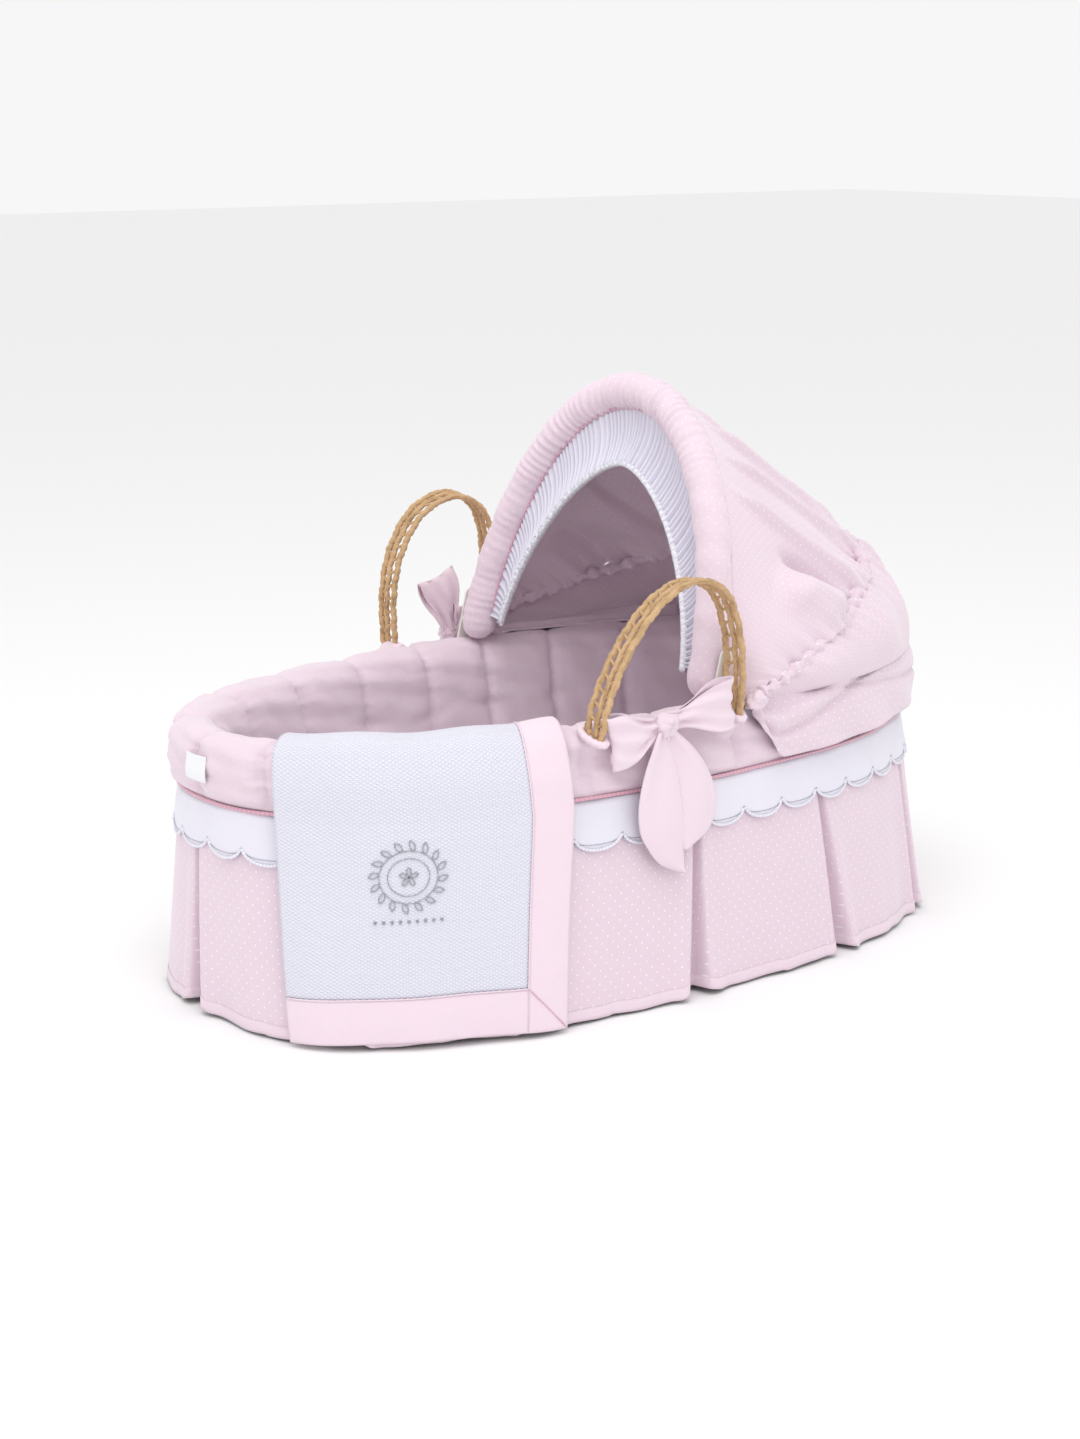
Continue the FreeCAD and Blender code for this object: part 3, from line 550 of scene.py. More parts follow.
def woven_tub(name, colour):
    """Coarse palm weave of the tub: rows of fat coils crossed by stitches, with painted shade darkening the
    low parts of the weave.
    """
    material, tree, shader = nodes_for(name)
    place = object_place(tree)
    rows = add_node(tree, "ShaderNodeTexWave", wave_type="BANDS", bands_direction="Z")
    rows.inputs["Scale"].default_value = 22.0
    rows.inputs["Distortion"].default_value = 1.5
    link(tree, place, rows.inputs["Vector"])
    cells = add_node(tree, "ShaderNodeTexVoronoi")
    cells.inputs["Scale"].default_value = 90.0
    link(tree, place, cells.inputs["Vector"])
    share = math_node(tree, "MULTIPLY", rows.outputs["Fac"], cells.outputs["Distance"])
    # Painted shade: the colour falls to 0.45 times the palm colour where the weave is low, in the hollows
    # between coils and stitches.
    painted_groove_shade = mix_colour(tree, share, tuple(c * 0.45 for c in colour), tuple(min(1, c * 1.2) for c in colour))
    link(tree, painted_groove_shade, shader.inputs["Base Color"])
    height = math_node(tree, "ADD", rows.outputs["Fac"], cells.outputs["Distance"])
    add_bump(tree, shader, height, 0.9, 0.003)
    shader.inputs["Roughness"].default_value = 0.65
    return material


MATERIALS = {}


def material_named(key):
    """Each finish is made once, when it is first asked for."""
    if key not in MATERIALS:
        c = colours()
        makers = {
            "dotted": lambda: cotton("Dotted pink cotton", c.pink),
            "quilt": lambda: cotton("Quilted pink cotton", c.pink, dots=0.25, soft=0.2),
            "sleeve": lambda: cotton("Hoop sleeve cotton", c.pink, dots=0.45, soft=0.1),
            "bow": lambda: cotton("Plain bow cotton", c.bow, dots=0.0, soft=0.1),
            "white": lambda: cotton("Smooth white cotton", c.white, dots=0.0, rough=0.7),
            "sheet": lambda: cotton("White sheet cotton", (0.86, 0.86, 0.88), dots=0.0),
            "satin": lambda: satin("White satin stitch", (0.84, 0.83, 0.93)),
            "elastic": lambda: satin("Shirred elastic", (0.86, 0.87, 0.93), 0.0016),
            "piping": lambda: satin("Rose piping", c.piping, 0.0012),
            "thread": lambda: satin("Grey embroidery thread", (0.40, 0.40, 0.45), 0.0008),
            "pique": lambda: pique("White waffle pique", (0.80, 0.795, 0.90)),
            "palm": lambda: palm_leaf("Palm leaf braid", c.palm),
            "tub": lambda: woven_tub("Woven palm tub", c.palm),
            "plastic": lambda: plain_material("White plastic", (0.80, 0.79, 0.74), 0.4),
            "steel": lambda: plain_material("Plated steel", (0.62, 0.63, 0.65), 0.28, 1.0, 900.0),
            "board": lambda: plain_material("Fibreboard", (0.45, 0.34, 0.22), 0.8, 0.0, 160.0, 0.3),
        }
        MATERIALS[key] = makers[key]()
    return MATERIALS[key]


# ---------------------------------------------------------------- skirt
PLEAT_SHIFT = -0.008


def skirt_share(u):
    """Share round the oval for a grid column, with columns crowded into the pleats; also the distance to the
    pleat's middle in metres and the pleat's number."""
    count = sizes().pleats
    cell = np.minimum(np.floor(u * count), count - 1)
    q = u * count - cell - 0.5
    local = np.sign(q) * (np.abs(q) * 2) ** 1.9 / 2
    share = (cell + 0.5 + local) / count + PLEAT_SHIFT - 0.5 / count
    return share, local * ROUND_LENGTH / count, cell


def skirt_place(u, v):
    share, gap, cell = skirt_share(u)
    low, high = sizes().hem_height, 0.204
    down = 1 - v
    a = 0.4045 + 0.0015 * down
    b = 0.2215 + 0.0175 * down
    power = 2.2 + 0.45 * down
    x, y, nx, ny = oval(share, a, b, power)
    mouth = 0.0007 + 0.0075 * down**1.6 * (0.75 + 0.25 * np.sin(cell * 2.1))
    notch = 1 - smooth_step(mouth, mouth + 0.004, np.abs(gap))
    depth = 0.005 + 0.016 * down
    lip = bump_at(np.abs(gap), mouth + 0.009, 0.008) * (0.001 + 0.0045 * down)
    lean = np.sign(gap) * np.exp(-np.abs(gap) / 0.02) * 0.0022 * down
    swell = 0.0022 * down**1.3 * np.sin(gap * 44 + cell * 1.7)
    swell = swell + 0.0008 * down * np.sin(gap * 120 + cell * 3.1)
    out = -depth * notch + lip + lean + swell * (1 - notch)
    z = low + (high - low) * v
    lift = 0.0025 * bump_at(np.abs(gap), mouth + 0.004, 0.006)
    z = z + down**3 * (0.0007 * np.sin(gap * 60 + cell * 2.3) + lift)
    z = np.maximum(z, 0.0015)
    return np.stack([x + nx * out, y + ny * out, z], 1)


def skirt_cloth(u, v):
    """Place on the flat cloth: the way along the pleated cloth at mid height."""
    fine = np.linspace(0, 1, 1081)
    points = skirt_place(fine, np.full_like(fine, 0.45))
    walked = np.concatenate([[0], np.cumsum(np.linalg.norm(np.diff(points, axis=0), axis=1))])
    return np.interp(u, fine, walked), v * SKIRT_HIGH


class BASKET_OT_skirt(bpy.types.Operator):
    """Hangs the box-pleated skirt and sews its narrow hem"""

    bl_idname = "basket.skirt"
    bl_label = "Pleated skirt"

    def execute(self, context):
        columns = sizes().pleats * PLEAT_COLUMNS
        skirt = shaped_grid("skirt_cloth", columns, 26, skirt_place, skirt_cloth)
        close_seams(skirt)
        thicken(skirt, CLOTH_THICK)
        finish_piece(skirt, material_named("dotted"), "root", ("skirt", "pleat_inserts"))

        def hem_place(u, v):
            points = skirt_place(u, np.clip(v * 0.055, 0, 1))
            nx, ny = oval(skirt_share(u)[0], 0.406, 0.239, 2.65)[2:4]
            out = 0.0009
            return points + np.stack([nx * out, ny * out, np.zeros_like(nx)], 1)

        hem = shaped_grid("skirt_hem", columns, 3, hem_place, skirt_cloth)
        close_seams(hem)
        thicken(hem, 0.0008)
        finish_piece(hem, material_named("bow"), "root")
        return {"FINISHED"}


# ---------------------------------------------------------------- scalloped band and piping
BAND_TOP = 0.2035
CUSP_HEIGHT = 0.1735
SCALLOP_DROP = 0.0155


def band_edge(share):
    phase = np.mod(share * sizes().scallops + 0.35, 1.0)
    return CUSP_HEIGHT - SCALLOP_DROP * np.sqrt(np.maximum(0.0, 1 - (2 * phase - 1) ** 2)), phase


def band_surface(share, z, proud):
    down = np.clip((0.204 - z) / 0.2, 0, 1)
    x, y, nx, ny = oval(share, 0.4045 + 0.0015 * down, 0.2215 + 0.0175 * down, 2.2 + 0.45 * down)
    lift = proud + 0.0045 * down**0.5 + 0.0009 * np.sin(share * TAU * 23 + 1)
    return np.stack([x + nx * lift, y + ny * lift, z], 1)


class BASKET_OT_band(bpy.types.Operator):
    """Sews the scalloped white band, its satin edge, the stitch line and the rose piping"""

    bl_idname = "basket.band"
    bl_label = "Scalloped band and piping"

    def execute(self, context):
        count = sizes().scallops

        def place(u, v):
            low = band_edge(u)[0]
            return band_surface(u, low + (BAND_TOP - low) * v, 0.0016)

        def cloth(u, v):
            low = band_edge(u)[0]
            return u * ROUND_LENGTH, (BAND_TOP - low) * v

        band = shaped_grid("scalloped_band_cloth", count * 24, 8, place, cloth)
        close_seams(band)
        thicken(band, 0.0014)
        finish_piece(band, material_named("white"), "root", ("scalloped_band",))

        def edge_path(rise, proud):
            def path(t):
                low, phase = band_edge(t)
                lift = rise * np.clip(np.sin(phase * math.pi), 0.25, 1)
                return band_surface(t, low + lift, proud)
            return path

        outward = lambda t: np.stack([*oval(t, 0.405, 0.23, 2.35)[2:4], np.zeros_like(t)], 1)
        edging = tube("scallop_edging", edge_path(0.0, 0.0016),
                      lambda t, turn: 0.0015 + 0.0002 * np.sin(t * 9000), count * 24, 8, outward, closed=True)
        finish_piece(edging, material_named("satin"), "root")
        stitch = tube("scallop_stitching", edge_path(0.0050, 0.0019), lambda t, turn: 0.00032 + 0 * t,
                      count * 24, 5, outward, closed=True)
        finish_piece(stitch, material_named("thread"), "root")

        def pipe_path(t):
            x, y = oval(t, 0.4068, 0.2246, OVAL_POWER)[:2]
            return np.stack([x, y, PIPING_HEIGHT + 0.0006 * np.sin(t * TAU * 9)], 1)

        pipe = tube("rose_piping", pipe_path, lambda t, turn: 0.0017 + 0 * t, 480, 10, outward, closed=True)
        finish_piece(pipe, material_named("piping"), "root", ("piping",))
        return {"FINISHED"}


# ---------------------------------------------------------------- quilted lining, rim and cuff
QUILT_ROWS = (
    (0.00, 0.4052, 0.2228, 0.2060),
    (0.05, 0.4085, 0.2222, 0.2150),
    (0.14, 0.4115, 0.2170, 0.2330),
    (0.22, 0.4110, 0.2105, 0.2490),
    (0.29, 0.4055, 0.2040, 0.2600),
    (0.36, 0.3930, 0.1915, 0.2650),
    (0.43, 0.3790, 0.1775, 0.2610),
    (0.50, 0.3700, 0.1680, 0.2480),
    (0.62, 0.3660, 0.1635, 0.2150),
    (0.82, 0.3575, 0.1560, 0.1300),
    (1.00, 0.3470, 0.1490, 0.0560),
)
BLANKET_ENDS = (share_at(-0.379, -1), share_at(-0.164, -1))
STRAP_FEET = ((-1, -0.130), (-1, 0.035), (1, -0.053), (1, 0.050))


def quilt_place(u, v):
    rows = smooth_rows(QUILT_ROWS, v)
    a, b, z = rows[:, 0], rows[:, 1], rows[:, 2]
    x, y, nx, ny = oval(u, a, b, OVAL_POWER)
    count = sizes().channels
    pitch = ROUND_LENGTH / count
    line = np.mod(u * count + 0.5 + 0.04 * np.sin(v * 9), 1.0) - 0.5
    gap = line * pitch
    groove = np.exp(-((gap / 0.0042) ** 2))
    crown = 0.0045 * (1 - groove) * np.minimum(1, np.abs(gap) / 0.022) ** 0.6
    crest = smooth_step(0.28, 0.36, v) * (1 - smooth_step(0.40, 0.5, v))
    fold = smooth_step(0.0, 0.06, v) * (1 - 0.6 * crest)
    tuft = 0.0
    for row, reach in ((0.15, 0.6), (0.66, 1.0)):
        level = (v - row - 0.01 * np.sin(u * 70)) * 0.45
        arm = np.exp(-((level / 0.006) ** 2)) * np.exp(-((gap / 0.021) ** 2))
        tuft = tuft + reach * arm
    near_stitch = np.exp(-np.abs(gap) / 0.014)
    pucker = 0.0007 * near_stitch * np.sin(v * 160 + 3 * np.sin(u * 40)) + 0.0009 * np.sin(v * 70 + u * 90)
    slack = 0.0022 * waver(u * 60 + v * 7, 3) * fold
    pressed = smooth_step(BLANKET_ENDS[0] - 0.01, BLANKET_ENDS[0] + 0.01, u)
    pressed = pressed * (1 - smooth_step(BLANKET_ENDS[1] - 0.01, BLANKET_ENDS[1] + 0.01, u))
    out = crown * fold - 0.0038 * groove * fold - 0.0042 * tuft + pucker * fold + slack
    out = out * (1 - 0.75 * pressed) - 0.0008 * pressed
    foot = 0.0
    for side, foot_x in STRAP_FEET:
        foot = foot + np.exp(-(((x - foot_x) / 0.017) ** 2)) * (np.sign(y) == side)
    out = out + 0.0165 * foot * np.exp(-(((v - 0.245) / 0.055) ** 2))
    table = np.array(QUILT_ROWS)
    rise = np.interp(v, table[:, 0], np.gradient(table[:, 3], table[:, 0]))
    run = np.interp(v, table[:, 0], np.gradient(table[:, 1], table[:, 0]))
    size = np.hypot(rise, run) + 1e-9
    side_share, up_share = rise / size, -run / size
    return np.stack([x + nx * out * side_share, y + ny * out * side_share, z + out * up_share], 1)


def quilt_cloth(u, v):
    return u * ROUND_LENGTH, v * 0.42


class BASKET_OT_quilting(bpy.types.Operator):
    """Pads and quilts the lining, the rim and the cuff, and binds the strap openings"""

    bl_idname = "basket.quilting"
    bl_label = "Quilted lining and rim"

    def execute(self, context):
        quilt = shaped_grid("quilted_dressing", sizes().channels * 26, 84, quilt_place, quilt_cloth)
        close_seams(quilt)
        thicken(quilt, 0.003)
        finish_piece(quilt, material_named("quilt"), "root",
                     ("quilted_liner", "padded_rim", "quilted_cuff"))
        rings = []
        for side, foot_x in STRAP_FEET:
            def ring_path(t, side=side, foot_x=foot_x):
                turn = t * TAU
                y = side * (0.2150 + 0.0155 * np.cos(turn))
                x = foot_x + 0.0075 * np.sin(turn)
                z = 0.2615 - 0.30 * (np.abs(y) - 0.2150)
                return np.stack([x, y, z], 1)

            ring = tube("binding", ring_path, lambda t, turn: 0.0034 + 0.0003 * np.sin(t * 90), 60, 12,
                        (0, 0, 1), closed=True)
            rings.append(ring)
        bindings = join_pieces("strap_slit_bindings", rings)
        finish_piece(bindings, material_named("bow"), "root",
                     ("slit_bindings", "handle_anchors_near", "handle_anchors_far"))

        def tab_place(u, v):
            share = 0.5 + (0.006 + (u - 0.5) * 0.040) / ROUND_LENGTH
            x, y, nx, ny = oval(share, 0.4125, 0.214, OVAL_POWER)
            out = 0.0045 + 0.001 * np.sin(u * math.pi) + 0.0008 * np.sin(v * 5)
            return np.stack([x + nx * out, y + ny * out, 0.225 + v * 0.024], 1)

        tab = shaped_grid("blank_label", 16, 10, tab_place, lambda u, v: (u * 0.04, v * 0.024), flip=False)
        close_seams(tab)
        thicken(tab, 0.0008, 0.0)
        finish_piece(tab, material_named("sheet"), "root", ("sewn_label",))
        return {"FINISHED"}


# ---------------------------------------------------------------- mattress and sheet
class BASKET_OT_bed(bpy.types.Operator):
    """Lays the crowned mattress in its fitted sheet"""

    bl_idname = "basket.bed"
    bl_label = "Mattress and fitted sheet"

    def execute(self, context):
        rows = ((0.0, 0.3275, 0.1405, 0.0135), (0.10, 0.3300, 0.1430, 0.024), (0.20, 0.3295, 0.1425, 0.042),
                (0.30, 0.3230, 0.1360, 0.0515), (0.42, 0.2950, 0.1170, 0.0545),
                (0.70, 0.1500, 0.0600, 0.0552),
                (1.0, 0.0001, 0.0001, 0.0553))

        def place(u, v):
            level = smooth_rows(rows, v)
            a, b = np.maximum(level[:, 0], 0.0001), np.maximum(level[:, 1], 0.0001)
            x, y, nx, ny = oval(u, a, b, OVAL_POWER)
            edge = np.exp(-(((v - 0.28) / 0.12) ** 2))
            crease = 0.0008 * np.sin(u * TAU * 46 + 2 * np.sin(u * 30)) * edge
            hollows = 0.0007 * np.sin(x * 31 + 1) * np.cos(y * 40) * smooth_step(0.35, 0.6, v)
            z = level[:, 2] + crease + hollows
            return np.stack([x + nx * crease, y + ny * crease, z], 1)

        bed = shaped_grid("mattress_in_sheet", 300, 60, place, lambda u, v: (u * ROUND_LENGTH * 0.8, v * 0.2))
        select_only(bed)
        close_seams(bed, 0.0003)
        close_base(bed)
        finish_piece(bed, material_named("sheet"), "root", ("fitted_sheet", "mattress"))
        return {"FINISHED"}


def close_base(obj):
    """Fills the open underside of a shape and turns its faces outwards."""
    select_only(obj)
    bpy.ops.object.mode_set(mode="EDIT")
    bpy.ops.mesh.select_mode(type="EDGE")
    bpy.ops.mesh.select_all(action="DESELECT")
    bpy.ops.mesh.select_non_manifold(extend=False)
    bpy.ops.mesh.edge_face_add()
    bpy.ops.mesh.select_all(action="SELECT")
    bpy.ops.mesh.normals_make_consistent(inside=False)
    bpy.ops.object.mode_set(mode="OBJECT")


# ---------------------------------------------------------------- palm handles
NEAR_ARCH = ((0.0, -0.130, 0.2555), (0.05, -0.129, 0.272), (0.17, -0.117, 0.306), (0.30, -0.092, 0.346),
             (0.43, -0.058, 0.378), (0.56, -0.018, 0.3915), (0.69, 0.017, 0.375), (0.81, 0.033, 0.334),
             (0.93, 0.036, 0.288), (1.0, 0.035, 0.2555))
FAR_ARCH = ((0.0, -0.053, 0.2555), (0.05, -0.053, 0.274), (0.18, -0.0535, 0.318), (0.31, -0.042, 0.365),
            (0.43, -0.014, 0.402), (0.54, 0.026, 0.4155), (0.66, 0.062, 0.397), (0.78, 0.075, 0.352),
            (0.90, 0.066, 0.302), (1.0, 0.051, 0.2555))


def build_strap(name, arch, side):
    """An openwork braid: three knobbly cords joined by slanting ties, along the strap's arch."""
    half = sizes().strap_width / 2 - 0.0031
    middle = side * STRAP_MIDDLE

    def centre(t):
        xz = smooth_rows(arch, t)
        return np.stack([xz[:, 0], np.full_like(t, middle), xz[:, 1]], 1)

    fine = np.linspace(0, 1, 400)
    fine_points = centre(fine)
    span = np.concatenate([[0], np.cumsum(np.linalg.norm(np.diff(fine_points, axis=0), axis=1))])
    length = span[-1]

    def waist(t):
        """The strap narrows where it is sewn into the rim."""
        return 0.70 + 0.30 * smooth_step(0.0, 0.06, np.minimum(t, 1 - t))

    def cord_path(shift, phase):
        def path(t):
            t = np.interp(t * length, span, fine)
            points = centre(t)
            sway = 0.0007 * np.sin(t * 95 + phase)
            twist = 0.35 * np.sin(math.pi * t) * side
            points[:, 1] += (shift * waist(t) + sway) * np.cos(twist * 0.6)
            points[:, 2] += shift * np.sin(twist) * 0.35
            return points
        return path

    def knobbly(size, count, phase):
        def radius(t, turn):
            knob = np.abs(np.sin(t * math.pi * count + phase + 0.5 * np.sin(turn)))
            return size * (0.80 + 0.30 * knob**0.7 + 0.05 * np.sin(t * 410 + turn * 2))
        return radius

    def tie_size(t, turn):
        return 0.0016 * (0.85 + 0.25 * np.abs(np.cos(t * math.pi)))

    parts = []
    inner = 0.0015 * side
    for index, shift in enumerate((-half, inner, half)):
        size = MIDDLE_CORD if index == 1 else OUTER_CORD
        knobs = knobbly(size, length / KNOB_GAP, index * 1.1)
        parts.append(tube("cord", cord_path(shift, index * 2.0), knobs, 420, 10, (0, 1, 0), flat=1.15))
    ties = int(length / TIE_GAP)
    for row, (low, high) in enumerate(((-half, inner), (inner, half))):
        for k in range(ties):
            start = (k + 0.30 + 0.35 * row) / (ties + 0.5)
            slant = 0.42 / ties * (1 if row else -1)

            def tie_path(t, start=start, slant=slant, low=low, high=high):
                along = np.clip(start + slant * (t - 0.5), 0.002, 0.998)
                points = centre(np.interp(along * length, span, fine))
                points[:, 1] += (low + (high - low) * t) * waist(along)
                points[:, 2] += 0.0006 * np.sin(t * math.pi)
                return points

            parts.append(tube("tie", tie_path, tie_size, 6, 7, (0.3, 0.0, 1.0)))
    return join_pieces(name, parts)


class BASKET_OT_handles(bpy.types.Operator):
    """Braids the two palm handles"""

    bl_idname = "basket.handles"
    bl_label = "Palm handles"

    def execute(self, context):
        for name, arch, side in (("handle_near", NEAR_ARCH, -1), ("handle_far", FAR_ARCH, 1)):
            strap = build_strap(name + "_braid", arch, side)
            finish_piece(strap, material_named("palm"), name, (name,))
        return {"FINISHED"}


# ---------------------------------------------------------------- hood hoop and frill
HOOP_LEAN = math.radians(13.9)
HOOP_FOOT = (0.0296, 0.2665)
HOOP_HALF = 0.1796
HOOP_HEIGHT = 0.2789
PIVOT_UP = 0.019
HOOP_UP = np.array([math.sin(HOOP_LEAN), 0.0, math.cos(HOOP_LEAN)])
HOOP_BACK = np.array([math.cos(HOOP_LEAN), 0.0, -math.sin(HOOP_LEAN)])


def in_hoop_plane(y, up, back=0.0):
    """Points in the leaning plane of the hoop; up is measured from its foot."""
    base = np.array([HOOP_FOOT[0], 0.0, HOOP_FOOT[1]])
    points = base + up[:, None] * HOOP_UP + (back + 0 * up)[:, None] * HOOP_BACK
    points[:, 1] = y
    return points


def hoop_turn(t):
    """Turn of the hoop's ellipse, even along its length, from the near pivot to the far one."""
    first = math.asin(PIVOT_UP / HOOP_HEIGHT)
    turns = np.linspace(first, math.pi - first, 400)
    y, up = -HOOP_HALF * np.cos(turns), HOOP_HEIGHT * np.sin(turns)
    span = np.concatenate([[0], np.cumsum(np.hypot(np.diff(y), np.diff(up)))])
    return np.interp(t * span[-1], span, turns)


class BASKET_OT_hoop(bpy.types.Operator):
    """Pads the hoop, sews its seam and gathers the white frill inside it"""

    bl_idname = "basket.hoop"
    bl_label = "Padded hoop and frill"

    def execute(self, context):
        radius = sizes().sleeve_radius

        def sleeve_path(t):
            inner = np.clip((t - 0.03) / 0.94, 0, 1)
            turn = hoop_turn(inner)
            points = in_hoop_plane(-HOOP_HALF * np.cos(turn), HOOP_HEIGHT * np.sin(turn))
            below = np.where(t < 0.03, (0.03 - t) / 0.03, np.where(t > 0.97, (t - 0.97) / 0.03, 0.0))
            return points - (below * radius * 0.98)[:, None] * HOOP_UP

        def sleeve_radius(t, turn):
            below = np.where(t < 0.03, (0.03 - t) / 0.03, np.where(t > 0.97, (t - 0.97) / 0.03, 0.0))
            dome = np.sqrt(np.maximum(0.0, 1 - (below * 0.98) ** 2))
            gather = smooth_step(0.26, 0.40, t) * (1 - 0.75 * smooth_step(0.66, 0.80, t))
            ruffle = np.sin(t * 500 + 1.6 * np.sin(t * 61) + 1.2 * np.sin(turn + t * 20))
            ruffle = ruffle * (0.7 + 0.3 * np.sin(t * 143 + turn * 2))
            soft = 0.0005 * np.sin(t * 90 + 2 * np.sin(turn)) + 0.0003 * np.sin(t * 170 - turn)
            return radius * dome - 0.0008 + gather * 0.0013 * ruffle + soft * dome

        sleeve = tube("hoop_sleeve_cover", sleeve_path, sleeve_radius, 900, 40, tuple(HOOP_BACK))
        finish_piece(sleeve, material_named("sleeve"), "hood", ("hoop_sleeve",))

        def seam_path(t):
            turn = hoop_turn(0.02 + 0.96 * t)
            y, up = -HOOP_HALF * np.cos(turn), HOOP_HEIGHT * np.sin(turn)
            ny, nup = np.cos(turn) / HOOP_HALF, np.sin(turn) / HOOP_HEIGHT
            size = np.hypot(ny, nup)
            inset = radius - 0.0004
            return in_hoop_plane(y + ny / size * inset, up - nup / size * inset, -0.001)

        seam = tube("hoop_seam", seam_path, lambda t, turn: 0.0010 + 0.0002 * np.sin(t * 800), 500, 6,
                    tuple(HOOP_BACK))
        finish_piece(seam, material_named("piping"), "hood")

        gathers = sizes().frill_gathers

        def frill_lines(u):
            turn = hoop_turn(0.015 + 0.97 * u)
            c, s = np.cos(turn), np.sin(turn)
            ny, nup = c / HOOP_HALF, s / HOOP_HEIGHT
            size = np.hypot(ny, nup)
            inset = radius - 0.0022
            outer = np.stack([-HOOP_HALF * c + ny / size * inset, HOOP_HEIGHT * s - nup / size * inset], 1)
            inner = np.stack([-0.146 * spow(c, 2 / 1.65), 0.010 + 0.197 * np.abs(s) ** (2 / 1.65)], 1)
            outer[:, 1] = np.maximum(outer[:, 1], 0.008)
            return outer, inner

        def frill_place(u, v):
            outer, inner = frill_lines(u)
            flat = outer + (inner - outer) * v[:, None]
            phase = u * TAU * gathers + 2.4 * np.sin(u * 37) + 1.3 * np.sin(u * 91)
            wave = np.sin(phase) * (0.0018 + 0.0026 * v) + 0.0012 * np.sin(phase * 0.5 + 1) * v
            return in_hoop_plane(flat[:, 0], flat[:, 1], 0.001 + wave + 0.006 * np.sin(v * math.pi))

        frill = shaped_grid("hoop_frill_cloth", gathers * 12, 12, frill_place,
                            lambda u, v: (u * 1.1, v * 0.05))
        close_seams(frill)
        thicken(frill, 0.0009, 0.0)
        finish_piece(frill, material_named("white"), "hood", ("hoop_frill",))

        def elastic_path(t):
            inner = frill_lines(t)[1]
            ruffle = t * TAU * gathers * 1.7
            back = 0.001 + 0.0022 * np.sin(ruffle)
            return in_hoop_plane(inner[:, 0], inner[:, 1] + 0.0006 * np.sin(ruffle + 1), back)

        elastic = tube("frill_elastic", elastic_path,
                       lambda t, turn: 0.0021 + 0.0010 * np.abs(np.sin(t * math.pi * gathers * 1.7)),
                       gathers * 14, 8, tuple(HOOP_BACK))
        finish_piece(elastic, material_named("elastic"), "hood")
        return {"FINISHED"}


# ---------------------------------------------------------------- hood cloth
CASING_TILT = math.radians(73)
CASING_FOOT = (0.062, 0.276)


def casing_line(turn):
    """Middle line of the gathered casing, an arch tilted back over the head end."""
    reach = 0.315 * np.abs(np.sin(turn)) ** (2 / 1.7)
    y = -0.2235 * spow(np.cos(turn), 2 / 1.7)
    return np.stack([CASING_FOOT[0] + reach * math.sin(CASING_TILT), y,
                     CASING_FOOT[1] + reach * math.cos(CASING_TILT)], 1)


def canopy_front(turn):
    """Where the hood cloth leaves the back of the padded hoop."""
    c, s = np.cos(turn), np.sin(turn)
    ny, nup = c / HOOP_HALF, s / HOOP_HEIGHT
    size = np.hypot(ny, nup)
    y = -HOOP_HALF * c - ny / size * 0.0125
    up = 0.004 + 0.2745 * s + nup / size * 0.0125
    return in_hoop_plane(y, up, 0.0105)


def rim_arch(turn):
    """Where the rear puff meets the rim."""
    reach = 0.348 * np.abs(np.sin(turn)) ** (2 / 2.1)
    return np.stack([0.070 + reach, -0.2120 * spow(np.cos(turn), 2 / 2.1), np.full_like(turn, 0.2655)], 1)


def with_relief(base, relief):
    """Moves the points of base(u, v) along its own normal by relief(u, v)."""
    def place(u, v):
        step = 0.002
        u0, u1 = np.clip(u - step, 0, 1), np.clip(u + step, 0, 1)
        v0, v1 = np.clip(v - step, 0, 1), np.clip(v + step, 0, 1)
        du = base(u1, v) - base(u0, v)
        dv = base(u, v1) - base(u, v0)
        normal = np.cross(du, dv)
        size = np.linalg.norm(normal, axis=1, keepdims=True)
        normal = normal / np.maximum(size, 1e-9)
        centre = np.array([0.15, 0.0, 0.25])
        flip = np.sign(np.sum(normal * (base(u, v) - centre), axis=1, keepdims=True))
        return base(u, v) + normal * flip * relief(u, v)[:, None]
    return place


def crease(u, v, centre, swing, width, depth, low=0.0, high=1.0):
    """A long narrow fold that starts at centre and swings aside as it runs back."""
    run = smooth_step(low, min(1.0, low + 0.25), v) * (1 - smooth_step(max(0, high - 0.2), high, v) * 0.8)
    return 2.2 * depth * run * np.exp(-(((u - centre - swing * v) / (width * (0.5 + 0.8 * v))) ** 2))


